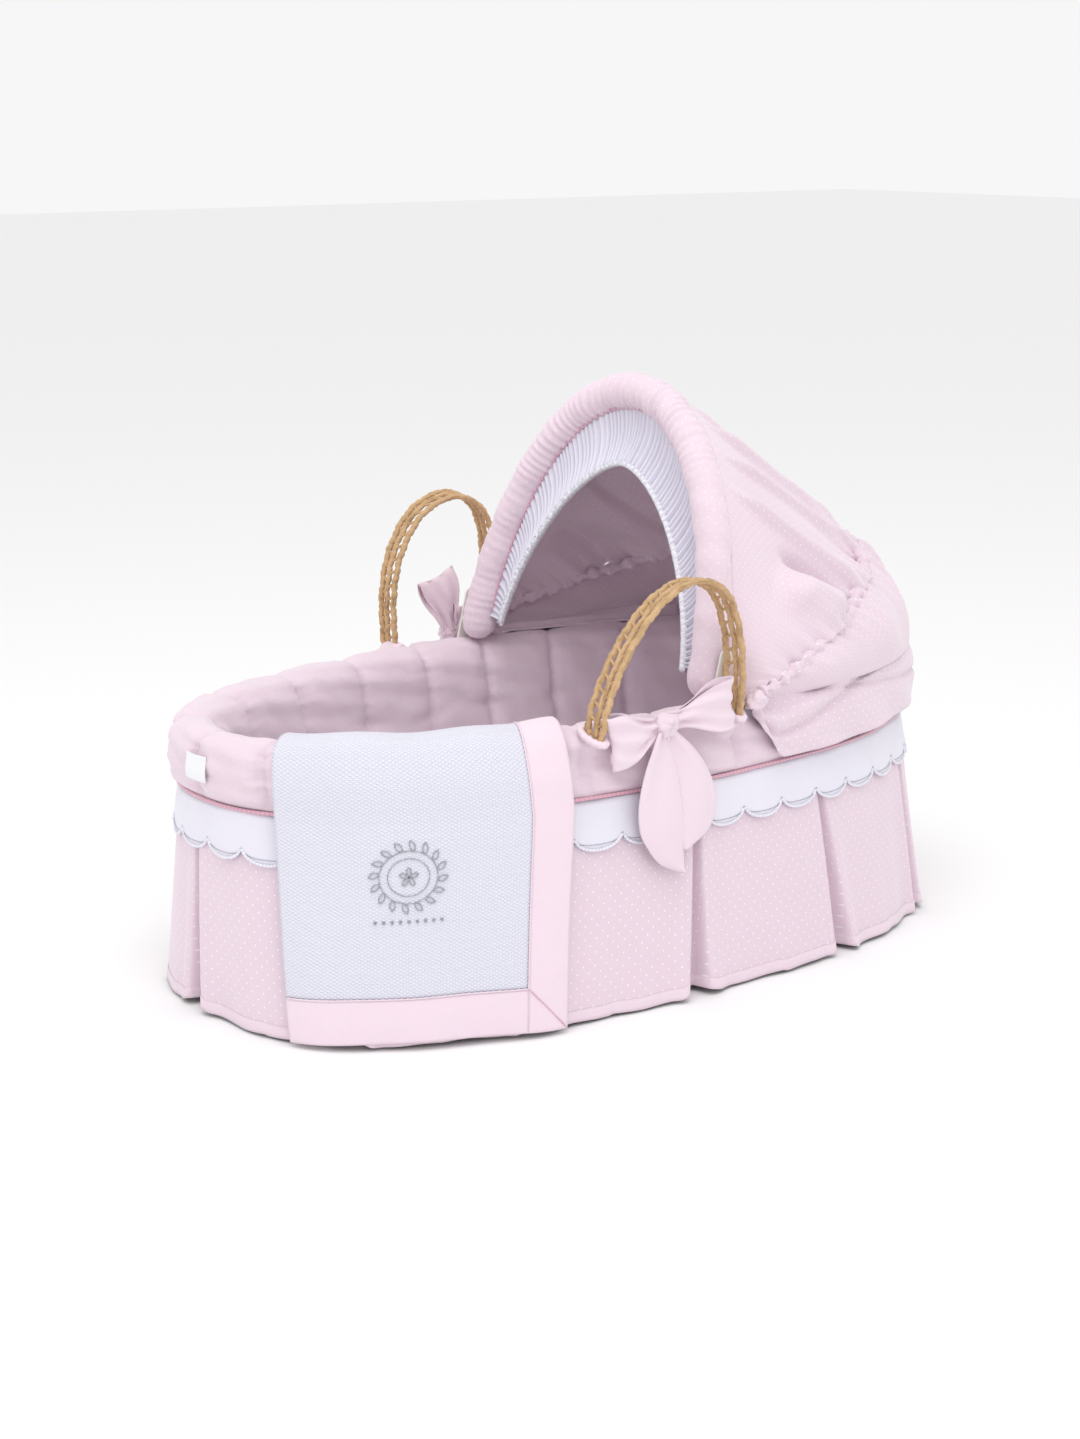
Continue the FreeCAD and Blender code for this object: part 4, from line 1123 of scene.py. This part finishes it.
class BASKET_OT_hood(bpy.types.Operator):
    """Stretches the hood cloth from the hoop to its gathered casing and puffs it out behind"""

    bl_idname = "basket.hood"
    bl_label = "Hood cloth"

    def execute(self, context):
        def canopy_base(u, v):
            turn = u * math.pi
            front, back = canopy_front(turn), casing_line(turn)
            points = front + (back - front) * (1.025 * v)[:, None]
            sag = -0.004 * np.sin(v * math.pi)
            points[:, 2] += sag
            return points

        def canopy_relief(u, v):
            side = np.minimum(u, 1 - u)
            total = 0.0016 * v**1.4 * np.sin(u * TAU * 17 + 2.0 * np.sin(u * 11) + v * 1.5)
            total = total + 0.0026 * v**5 * np.sin(u * TAU * 46 + 1.5 * np.sin(u * 29))
            total = total + 0.0060 * v**2.5 * np.sin(u * TAU * 7.5 + 0.7)
            for centre, swing, width, depth in (
                    (0.30, 0.09, 0.010, 0.0042), (0.36, 0.10, 0.012, 0.0046), (0.44, 0.05, 0.012, 0.0036),
                    (0.25, 0.02, 0.012, 0.0050), (0.58, -0.06, 0.011, 0.0042), (0.67, -0.08, 0.012, 0.0046),
                    (0.74, -0.02, 0.012, 0.0044)):
                total = total + crease(u, v, centre, swing, width, depth)
            total = total + crease(u, v, 0.15, 0.05, 0.030, 0.011, 0.35)
            total = total - crease(u, v, 0.21, 0.02, 0.014, 0.008, 0.35)
            total = total + crease(u, v, 0.84, -0.05, 0.030, 0.010, 0.35)
            total = total + 0.013 * np.sin(v * math.pi) ** 0.8 * np.exp(-(((side - 0.075) / 0.05) ** 2))
            return total * np.minimum(1, side / 0.02) ** 0.5

        canopy = shaped_grid("hood_canopy_cloth", 420, 66, with_relief(canopy_base, canopy_relief),
                             lambda u, v: (u * 0.85, v * 0.31))
        thicken(canopy, CLOTH_THICK, 0.0)
        finish_piece(canopy, material_named("dotted"), None, ("hood_canopy",))
        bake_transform(canopy)

        def ruche(t, turn):
            pulse = np.sin(t * TAU * 46 + 1.6 * np.sin(t * 37)) + 0.5 * np.sin(t * TAU * 79 + turn)
            return 0.0052 + 0.0019 * pulse + 0.0006 * np.sin(turn * 3 + t * 50)

        def casing_path(t):
            points = casing_line(0.012 + t * (math.pi - 0.024))
            points[:, 2] += 0.002 * np.sin(t * 60) * np.sin(t * math.pi)
            points[:, 0] += 0.002 * np.sin(t * 43)
            return points

        casing = tube("gathered_casing_cloth", casing_path, ruche, 900, 14, (0.2, 0.0, 1.0))
        finish_piece(casing, material_named("dotted"), "root", ("gathered_casing",))

        def puff_base(u, v):
            turn = u * math.pi
            back, rim = casing_line(turn), rim_arch(turn)
            points = back + (rim - back) * (1.03 * v - 0.03)[:, None]
            bulge = 0.022 * np.sin(v * math.pi) ** 0.75 * np.sin(turn) ** 0.6
            points[:, 0] += bulge * 0.90 * np.sin(turn)
            points[:, 1] -= bulge * 0.8 * np.cos(turn)
            points[:, 2] += bulge * 0.30
            return points

        def puff_relief(u, v):
            total = 0.0022 * np.sin(u * TAU * 44 + 1.2 * np.sin(u * 31)) * np.exp(-v * 4.5)
            total = total + 0.0038 * np.sin(u * TAU * 8.5 + 1.2 + v * 2) * np.sin(v * math.pi)
            total = total + crease(u, v, 0.36, -0.03, 0.014, -0.005)
            total = total + crease(u, v, 0.45, 0.02, 0.012, 0.004)
            return total

        puff = shaped_grid("hood_puff_cloth", 420, 44, with_relief(puff_base, puff_relief),
                           lambda u, v: (u * 0.95, v * 0.13 + 0.4))
        thicken(puff, CLOTH_THICK, 0.0)
        finish_piece(puff, material_named("dotted"), "root", ("hood_rear_puff",))

        first, last = share_at(0.060, -1), 1 + share_at(0.060, 1)

        def flap_base(u, v):
            share = first + (last - first) * u
            rows = smooth_rows(((0.0, 0.4190, 0.2310, 0.2105), (0.30, 0.4205, 0.2270, 0.2350),
                                (0.52, 0.4185, 0.2200, 0.2570), (0.68, 0.4120, 0.2120, 0.2680),
                                (0.84, 0.4010, 0.2000, 0.2705), (1.0, 0.3880, 0.1880, 0.2690)), v)
            x, y, nx, ny = oval(share, rows[:, 0], rows[:, 1], OVAL_POWER)
            end = np.minimum(u, 1 - u) * (last - first) * ROUND_LENGTH
            drawn = 0.80 * np.exp(-((end / 0.020) ** 2)) * (1 - smooth_step(0.5, 0.75, v))
            z = rows[:, 2] + 0.012 * np.sin(u * math.pi) ** 4 * (1 - v)
            z = z + (0.262 - z) * drawn
            x, y = x - nx * 0.006 * drawn, y - ny * 0.006 * drawn
            return np.stack([x, y, z], 1)

        def flap_relief(u, v):
            end = np.minimum(u, 1 - u) * (last - first) * ROUND_LENGTH
            rise = 0.25 + 0.55 * smooth_step(0.0, 0.30, end)
            total = -0.0055 * np.exp(-(((v - rise) / 0.045) ** 2)) * smooth_step(0.0, 0.02, end)
            total = total + 0.0050 * np.exp(-(((v - rise - 0.13) / 0.07) ** 2))
            second = 0.62 - 0.35 * smooth_step(0.05, 0.40, end)
            total = total - 0.0040 * np.exp(-(((v - second) / 0.035) ** 2)) * smooth_step(0.06, 0.12, end)
            angle = np.arctan2(v - 0.66, end / 0.05 + 0.15)
            total = total + 0.0026 * np.sin(angle * 13) * np.exp(-end / 0.05)
            total = total + 0.0018 * np.sin(end * 75 + v * 6) * (1 - v) + 0.0012 * waver(end * 30 + v * 9, 11)
            return total + 0.002

        flap = shaped_grid("hood_flap_cloth", 460, 46, with_relief(flap_base, flap_relief),
                           lambda u, v: (u * 0.95, v * 0.09 + 0.9))
        close_seams(flap)
        thicken(flap, CLOTH_THICK, 0.0)
        finish_piece(flap, material_named("dotted"), "root", ("hood_rear_flap",))
        for side, word in ((-1, "near"), (1, "far")):
            build_knot("hood_tie_" + word, (0.057, side * 0.2265, 0.2705), 0.0105, 5 + side)
        return {"FINISHED"}


def build_knot(name, centre, size, seed, material="bow"):
    """A tight cloth knot: a sphere wrapped by deep turning folds."""
    deselect()
    bpy.ops.mesh.primitive_uv_sphere_add(segments=48, ring_count=28, radius=1.0, location=(0, 0, 0))
    obj = bpy.context.active_object
    obj.name = name
    obj.data.name = name
    flat = np.zeros(len(obj.data.vertices) * 3)
    obj.data.vertices.foreach_get("co", flat)
    points = flat.reshape(-1, 3)
    turn = np.arctan2(points[:, 2], points[:, 0])
    fold = 0.10 * np.sin(turn * 3 + points[:, 1] * 4 + seed) + 0.06 * np.sin(turn * 7 - points[:, 1] * 6)
    points = points * (1 + fold)[:, None] * np.array([1.0, 0.72, 0.88]) * size + np.array(centre)
    obj.data.vertices.foreach_set("co", points.reshape(-1))
    obj.data.update()
    return finish_piece(obj, material_named(material), "root")


# ---------------------------------------------------------------- bows
def build_loop(name, knot, end, width, depth, seed, waist=0.24):
    """One loop of a bow: the ribbon goes out from the knot along the front and comes back behind."""
    knot, end = np.array(knot, float), np.array(end, float)
    reach = end - knot
    out = reach / np.linalg.norm(reach)
    forward = np.array([0.0, -1.0 if knot[1] < 0 else 1.0, 0.0])
    across = np.cross(out, forward)
    across /= np.linalg.norm(across)
    length = np.linalg.norm(reach)

    def place(u, v):
        w = 2 * v - 1
        turn = u * TAU
        along = length * (0.5 - 0.5 * np.cos(turn)) ** 0.72
        share = along / length
        spread = width * (waist + (1 - waist) * smooth_step(0.0, 0.75, share))
        spread = spread * (1 - 0.10 * smooth_step(0.8, 1, share))
        bow_out = depth * np.sin(turn) * (0.35 + 0.65 * share)
        fold = 0.0022 * np.sin(w * 5.5 + seed + share * 2.2) * (1.15 - share)
        fold = fold + 0.0015 * np.sin(w * 9 - share * 7 + seed * 2)
        pinch = -0.12 * width * np.sin(share * math.pi) * np.abs(w)
        height = w * (spread / 2 + pinch)
        tip = 0.004 * np.abs(w) * smooth_step(0.7, 1, share)
        return (knot + out * (along + tip)[:, None] + across * height[:, None]
                + forward * (bow_out + fold * np.sign(np.sin(turn) + 1e-9))[:, None])

    obj = shaped_grid(name, 90, 30, place, lambda u, v: (u * 2 * length, v * width))
    close_seams(obj, 0.00005)
    thicken(obj, RIBBON_THICK, 0.0)
    return obj


def build_tail(name, rows, y_rows, seed):
    """A hanging ribbon end. rows are (v, left x, right x, z), y_rows (v, y)."""
    def place(u, v):
        edge = smooth_rows(rows, v)
        y = np.interp(v, [r[0] for r in y_rows], [r[1] for r in y_rows])
        x = edge[:, 0] + (edge[:, 1] - edge[:, 0]) * u
        way = -1.0 if y_rows[0][1] < 0 else 1.0
        curl = 0.0042 * np.sin(u * math.pi) * np.sin(np.minimum(v * 1.6, 1) * math.pi / 2)
        fold = 0.0024 * np.sin(u * 9 + seed) * np.exp(-v * 3.2) + 0.0012 * np.sin(u * 5 + v * 6 + seed)
        return np.stack([x, y + way * (curl + fold), edge[:, 2]], 1)

    obj = shaped_grid(name, 30, 60, place, lambda u, v: (u * 0.045, v * 0.14))
    close_seams(obj, 0.00005)
    thicken(obj, RIBBON_THICK, 0.0)
    return obj


class BASKET_OT_bows(bpy.types.Operator):
    """Ties the large bow on the near side and the smaller upright one on the far side"""

    bl_idname = "basket.bows"
    bl_label = "Bows"

    def execute(self, context):
        loops = join_pieces("bow_near_loop_cloth", [
            build_loop("loop", (-0.066, -0.232, 0.267), (-0.119, -0.229, 0.256), 0.058, 0.0085, 0.5, 0.34),
            build_loop("loop", (-0.057, -0.232, 0.268), (0.020, -0.230, 0.275), 0.054, 0.0085, 2.0, 0.34),
        ])
        finish_piece(loops, material_named("bow"), "root", ("bow_near_loops",))
        knot = build_knot("bow_near_knot_cloth", (-0.061, -0.2345, 0.2665), 0.0125, 1)
        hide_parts("bow_near_knot")
        tails = join_pieces("bow_near_tail_cloth", [
            build_tail("tail", ((0, -0.071, -0.060, 0.262), (0.25, -0.088, -0.051, 0.225),
                                (0.5, -0.095, -0.044, 0.188),
                                (0.75, -0.086, -0.042, 0.157), (0.92, -0.064, -0.041, 0.134),
                                (1.0, -0.044, -0.041, 0.126)),
                       ((0, -0.235), (0.3, -0.236), (0.6, -0.238), (1, -0.239)), 0.4),
            build_tail("tail", ((0, -0.063, -0.052, 0.262), (0.22, -0.058, -0.024, 0.236),
                                (0.5, -0.052, -0.004, 0.203), (0.72, -0.048, -0.001, 0.180),
                                (0.9, -0.044, -0.014, 0.158), (1.0, -0.043, -0.035, 0.147)),
                       ((0, -0.235), (0.3, -0.235), (0.6, -0.2365), (1, -0.2375)), 1.9),
        ])
        finish_piece(tails, material_named("bow"), "root", ("bow_near_tails",))

        far_loops = join_pieces("bow_far_loop_cloth", [
            build_loop("loop", (0.034, 0.228, 0.268), (0.014, 0.227, 0.326), 0.052, 0.007, 0.9, 0.45),
            build_loop("loop", (0.038, 0.228, 0.268), (0.044, 0.226, 0.292), 0.024, 0.006, 2.4),
        ])
        finish_piece(far_loops, material_named("bow"), "root", ("bow_far_loops",))
        far_knot = build_knot("bow_far_knot_cloth", (0.034, 0.2325, 0.2645), 0.0115, 4)
        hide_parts("bow_far_knot")
        far_tails = join_pieces("bow_far_tail_cloth", [
            build_tail("tail", ((0, 0.026, 0.034, 0.258), (0.25, 0.010, 0.037, 0.228),
                                (0.5, 0.004, 0.036, 0.196),
                                (0.75, 0.010, 0.034, 0.166), (1.0, 0.028, 0.033, 0.144)),
                       ((0, 0.236), (0.5, 0.237), (1, 0.239)), 2.7),
            build_tail("tail", ((0, 0.035, 0.043, 0.258), (0.25, 0.037, 0.056, 0.228),
                                (0.5, 0.038, 0.062, 0.200),
                                (0.75, 0.039, 0.061, 0.172), (1.0, 0.040, 0.046, 0.152)),
                       ((0, 0.236), (0.5, 0.2365), (1, 0.238)), 0.8),
        ])
        finish_piece(far_tails, material_named("bow"), "root", ("bow_far_tails",))
        return {"FINISHED"}


# ---------------------------------------------------------------- blanket
BLANKET_WIDE = 0.268
BLANKET_LONG = 0.392
BORDER = 0.041
BLANKET_ROWS = (
    (0.000, 0.4145, 0.2485, 0.0045),
    (0.160, 0.4170, 0.2440, 0.0670),
    (0.340, 0.4170, 0.2380, 0.1370),
    (0.510, 0.4185, 0.2335, 0.2040),
    (0.600, 0.4190, 0.2275, 0.2400),
    (0.660, 0.4140, 0.2165, 0.2640),
    (0.715, 0.3995, 0.1990, 0.2745),
    (0.770, 0.3800, 0.1785, 0.2710),
    (0.820, 0.3640, 0.1615, 0.2530),
    (0.900, 0.3570, 0.1545, 0.2240),
    (1.000, 0.3520, 0.1495, 0.1900),
)


def blanket_place(across, along, proud=0.0):
    """A point of the draped blanket: across from the foot end, along from the hanging hem up and over."""
    rows = smooth_rows(BLANKET_ROWS, along)
    share = BLANKET_ENDS[0] + (BLANKET_ENDS[1] - BLANKET_ENDS[0]) * across
    share = share + 0.0045 * (1 - along) * (across - 0.35)
    power = 2.2 + 0.42 * np.clip(1 - along / 0.5, 0, 1)
    x, y, nx, ny = oval(share, rows[:, 0], rows[:, 1], power)
    wave = 0.0020 * np.sin(across * 7.5 + 0.6) * (1 - along) + 0.0012 * np.sin(across * 16 + along * 5)
    out = proud + wave
    inside = smooth_step(0.66, 0.78, along)
    over = np.sin(np.clip((along - 0.60) / 0.2, 0, 1) * math.pi)
    hem_rise = 0.0035 * np.sin(across * 3.0) * np.clip(1 - along * 3, 0, 1)
    return np.stack([x + nx * out * (1 - 2 * inside), y + ny * out * (1 - 2 * inside),
                     rows[:, 2] + out * over + hem_rise], 1)


class BASKET_OT_blanket(bpy.types.Operator):
    """Drapes the bordered waffle blanket over the near side and embroiders a plain flower wreath"""

    bl_idname = "basket.blanket"
    bl_label = "Blanket"

    def execute(self, context):
        edge_right = 1 - BORDER / BLANKET_WIDE
        edge_low = BORDER / BLANKET_LONG

        def panel_place(u, v):
            return blanket_place(u * edge_right, edge_low + (1 - edge_low) * v, 0.0006 * np.sin(v * 3))

        panel = shaped_grid("blanket_panel_cloth", 90, 120, panel_place,
                            lambda u, v: (u * BLANKET_WIDE * edge_right, v * BLANKET_LONG))
        thicken(panel, 0.0042)
        finish_piece(panel, material_named("pique"), "blanket", ("blanket_panel",))

        def side_place(u, v):
            crown = 0.0012 * np.sin(np.clip(u, 0, 1) * math.pi) ** 0.5
            return blanket_place(edge_right + (1 - edge_right) * u, v, crown + 0.0004)

        def low_place(u, v):
            crown = 0.0012 * np.sin(np.clip(v, 0, 1) * math.pi) ** 0.5
            return blanket_place(u * edge_right, edge_low * v, crown + 0.0004)

        side = shaped_grid("side", 16, 130, side_place, lambda u, v: (u * BORDER, v * BLANKET_LONG))
        low = shaped_grid("low", 90, 16, low_place, lambda u, v: (v * BORDER, u * 0.22))
        border = join_pieces("blanket_border_cloth", [side, low])
        close_seams(border, 0.0002)
        thicken(border, 0.0050)
        finish_piece(border, material_named("bow"), "blanket", ("blanket_border",))

        def seam_path(t):
            corner = 0.63
            down = np.clip(t / corner, 0, 1)
            back = np.clip((t - corner) / (1 - corner), 0, 1)
            across = edge_right * (1 - back)
            along = 1 - (1 - edge_low) * down
            return blanket_place(across, along, 0.0012)

        seam = tube("blanket_seam", seam_path, lambda t, turn: 0.0007 + 0 * t, 260, 6, (0.5, -0.7, 0.4))
        finish_piece(seam, material_named("bow"), "blanket")

        def mitre_path(t):
            return blanket_place(edge_right + (1 - edge_right) * t, edge_low * (1 - t), 0.0019)

        mitre = tube("blanket_mitre", mitre_path, lambda t, turn: 0.0005 + 0 * t, 20, 6, (0.2, -0.9, 0.1))
        finish_piece(mitre, material_named("piping"), "blanket")
        self.embroider()
        return {"FINISHED"}

    def embroider(self):
        """A flower in a wreath of leaf sprays, with a short row of seed stitches below."""
        middle = (0.43, 0.385)

        def on_cloth(x, y):
            across = middle[0] + x / BLANKET_WIDE
            along = middle[1] + y / BLANKET_LONG
            return blanket_place(across, along, 0.0012)

        parts = []

        def stitch(points_of, steps, size=0.00055):
            parts.append(tube("stitch", lambda t: on_cloth(*points_of(t)),
                              lambda t, turn: size * (1 + 0.2 * np.sin(t * 120)), steps, 5, (0.3, -0.9, 0.1)))

        for k in range(5):
            heading = TAU * k / 5 + 0.3

            def petal(t, heading=heading):
                r = 0.0085 * np.abs(np.sin(t * math.pi)) ** 0.8
                swing = (t - 0.5) * 1.15
                return r * np.cos(heading + swing), r * np.sin(heading + swing)

            stitch(petal, 24)
        stitch(lambda t: (0.0019 * np.cos(t * TAU * 1.02), 0.0019 * np.sin(t * TAU * 1.02)), 16, 0.0008)
        for radius in (0.0175, 0.0245):
            def hoop(t, radius=radius):
                turn = t * TAU * 1.002
                return radius * 1.06 * np.cos(turn), radius * 0.94 * np.sin(turn)

            stitch(hoop, 90, 0.00045)
        leaves = 16
        for k in range(leaves):
            heading = TAU * (k + 0.5) / leaves

            def leaf(t, heading=heading):
                belly = 0.0024 * np.sin(t * TAU)
                turn = heading + 0.55
                x0, y0 = 0.0245 * 1.06 * math.cos(heading), 0.0245 * 0.94 * math.sin(heading)
                there = 0.0105 * (1 - np.abs(2 * t - 1))
                return (x0 + there * math.cos(turn) - belly * math.sin(turn),
                        y0 + there * math.sin(turn) + belly * math.cos(turn))

            stitch(leaf, 16)
        for k in range(9):
            x0 = (k - 4) * 0.0075

            def seed_stitch(t, x0=x0):
                return x0 + 0.0012 * np.cos(t * TAU), -0.0395 + 0.0012 * np.sin(t * TAU)

            stitch(seed_stitch, 8, 0.0007)
        wreath = join_pieces("blanket_embroidery", parts)
        finish_piece(wreath, material_named("thread"), "blanket")


# ---------------------------------------------------------------- finishes of the frame
FRAME_FINISHES = {
    "basket_shell": "tub", "basket_rim_braid": "tub", "base_board": "board", "bracket_spacers": "board",
    "hood_bracket_near": "plastic", "hood_bracket_far": "plastic", "hoop_rod": "plastic",
    "hoop_end_plugs": "plastic", "pin_washers": "plastic", "hood_pins": "steel", "bracket_rivets": "steel",
}


class BASKET_OT_frame_finishes(bpy.types.Operator):
    """Gives the tub, rods, brackets and pins their own finishes"""

    bl_idname = "basket.frame_finishes"
    bl_label = "Frame finishes"

    def execute(self, context):
        for name, key in FRAME_FINISHES.items():
            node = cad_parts[name]
            node.data.materials.clear()
            node.data.materials.append(material_named(key))
        return {"FINISHED"}


# ---------------------------------------------------------------- stage
def area_light(name, place, target, size, power, colour=(1, 1, 1)):
    light = bpy.data.lights.new(name, "AREA")
    light.shape = "RECTANGLE"
    light.size, light.size_y = size
    light.energy = power
    light.color = colour
    obj = bpy.data.objects.new(name, light)
    bpy.context.scene.collection.objects.link(obj)
    obj.location = place
    obj.rotation_euler = (Vector(target) - Vector(place)).to_track_quat("-Z", "Y").to_euler()
    return obj


class BASKET_OT_stage(bpy.types.Operator):
    """Sets the pale floor, the soft studio lights and the camera"""

    bl_idname = "basket.stage"
    bl_label = "Stage"

    def execute(self, context):
        scene = context.scene
        deselect()
        bpy.ops.mesh.primitive_plane_add(size=30, location=(0, 0, 0))
        floor = context.active_object
        floor.name = "studio_floor"
        material, _, shader = nodes_for("Studio floor")
        shader.inputs["Base Color"].default_value = (0.92, 0.92, 0.92, 1)
        shader.inputs["Roughness"].default_value = 0.9
        floor.data.materials.append(material)
        world = bpy.data.worlds.new("Studio")
        world.use_nodes = True
        background = world.node_tree.nodes["Background"]
        background.inputs["Color"].default_value = (1.0, 1.0, 1.0, 1)
        background.inputs["Strength"].default_value = 0.93
        scene.world = world
        area_light("Key", (-0.9, -2.6, 2.3), (0, 0, 0.25), (1.4, 1.4), 9)
        area_light("Fill", (-2.6, -0.6, 1.3), (0.1, 0, 0.35), (1.2, 1.2), 3)
        area_light("Top", (-0.6, -0.6, 2.7), (0, 0, 0.2), (1.8, 1.8), 20)
        scene.view_settings.view_transform = "Standard"
        camera = bpy.data.cameras.new("Camera")
        camera.lens = 66.12
        camera.sensor_width = 36.0
        camera.shift_x = -0.0132
        camera.shift_y = -0.0216
        camera.clip_end = 60
        obj = bpy.data.objects.new("Camera", camera)
        scene.collection.objects.link(obj)
        azimuth, elevation, distance = math.radians(-38.15), math.radians(12.70), 2.61
        back = Vector((math.sin(azimuth) * math.cos(elevation), -math.cos(azimuth) * math.cos(elevation),
                       math.sin(elevation)))
        obj.location = Vector((0, 0, 0.25)) + back * distance
        obj.rotation_euler = (-back).to_track_quat("-Z", "Y").to_euler()
        scene.camera = obj
        return {"FINISHED"}


class BASKET_PT_panel(bpy.types.Panel):
    """Lists the steps and the sizes of the basket"""

    bl_label = "Moses Basket"
    bl_idname = "BASKET_PT_panel"
    bl_space_type = "VIEW_3D"
    bl_region_type = "UI"
    bl_category = "Moses Basket"

    def draw(self, context):
        for step in STEPS:
            self.layout.operator(step.bl_idname)
        for group in (context.scene.basket_sizes, context.scene.basket_colours):
            for key in group.__annotations__:
                self.layout.prop(group, key)


STEPS = (BASKET_OT_frame_finishes, BASKET_OT_skirt, BASKET_OT_band, BASKET_OT_quilting, BASKET_OT_bed,
         BASKET_OT_handles, BASKET_OT_hoop, BASKET_OT_hood, BASKET_OT_bows, BASKET_OT_blanket,
         BASKET_OT_stage)
CLASSES = (BasketSizes, BasketColours) + STEPS + (BASKET_PT_panel,)


def register():
    for cls in CLASSES:
        bpy.utils.register_class(cls)
    bpy.types.Scene.basket_sizes = bpy.props.PointerProperty(type=BasketSizes)
    bpy.types.Scene.basket_colours = bpy.props.PointerProperty(type=BasketColours)


def unregister():
    del bpy.types.Scene.basket_colours
    del bpy.types.Scene.basket_sizes
    for cls in reversed(CLASSES):
        bpy.utils.unregister_class(cls)


def main():
    register()
    for step in STEPS:
        group, name = step.bl_idname.split(".")
        getattr(getattr(bpy.ops, group), name)()


if __name__ == "__main__":
    main()
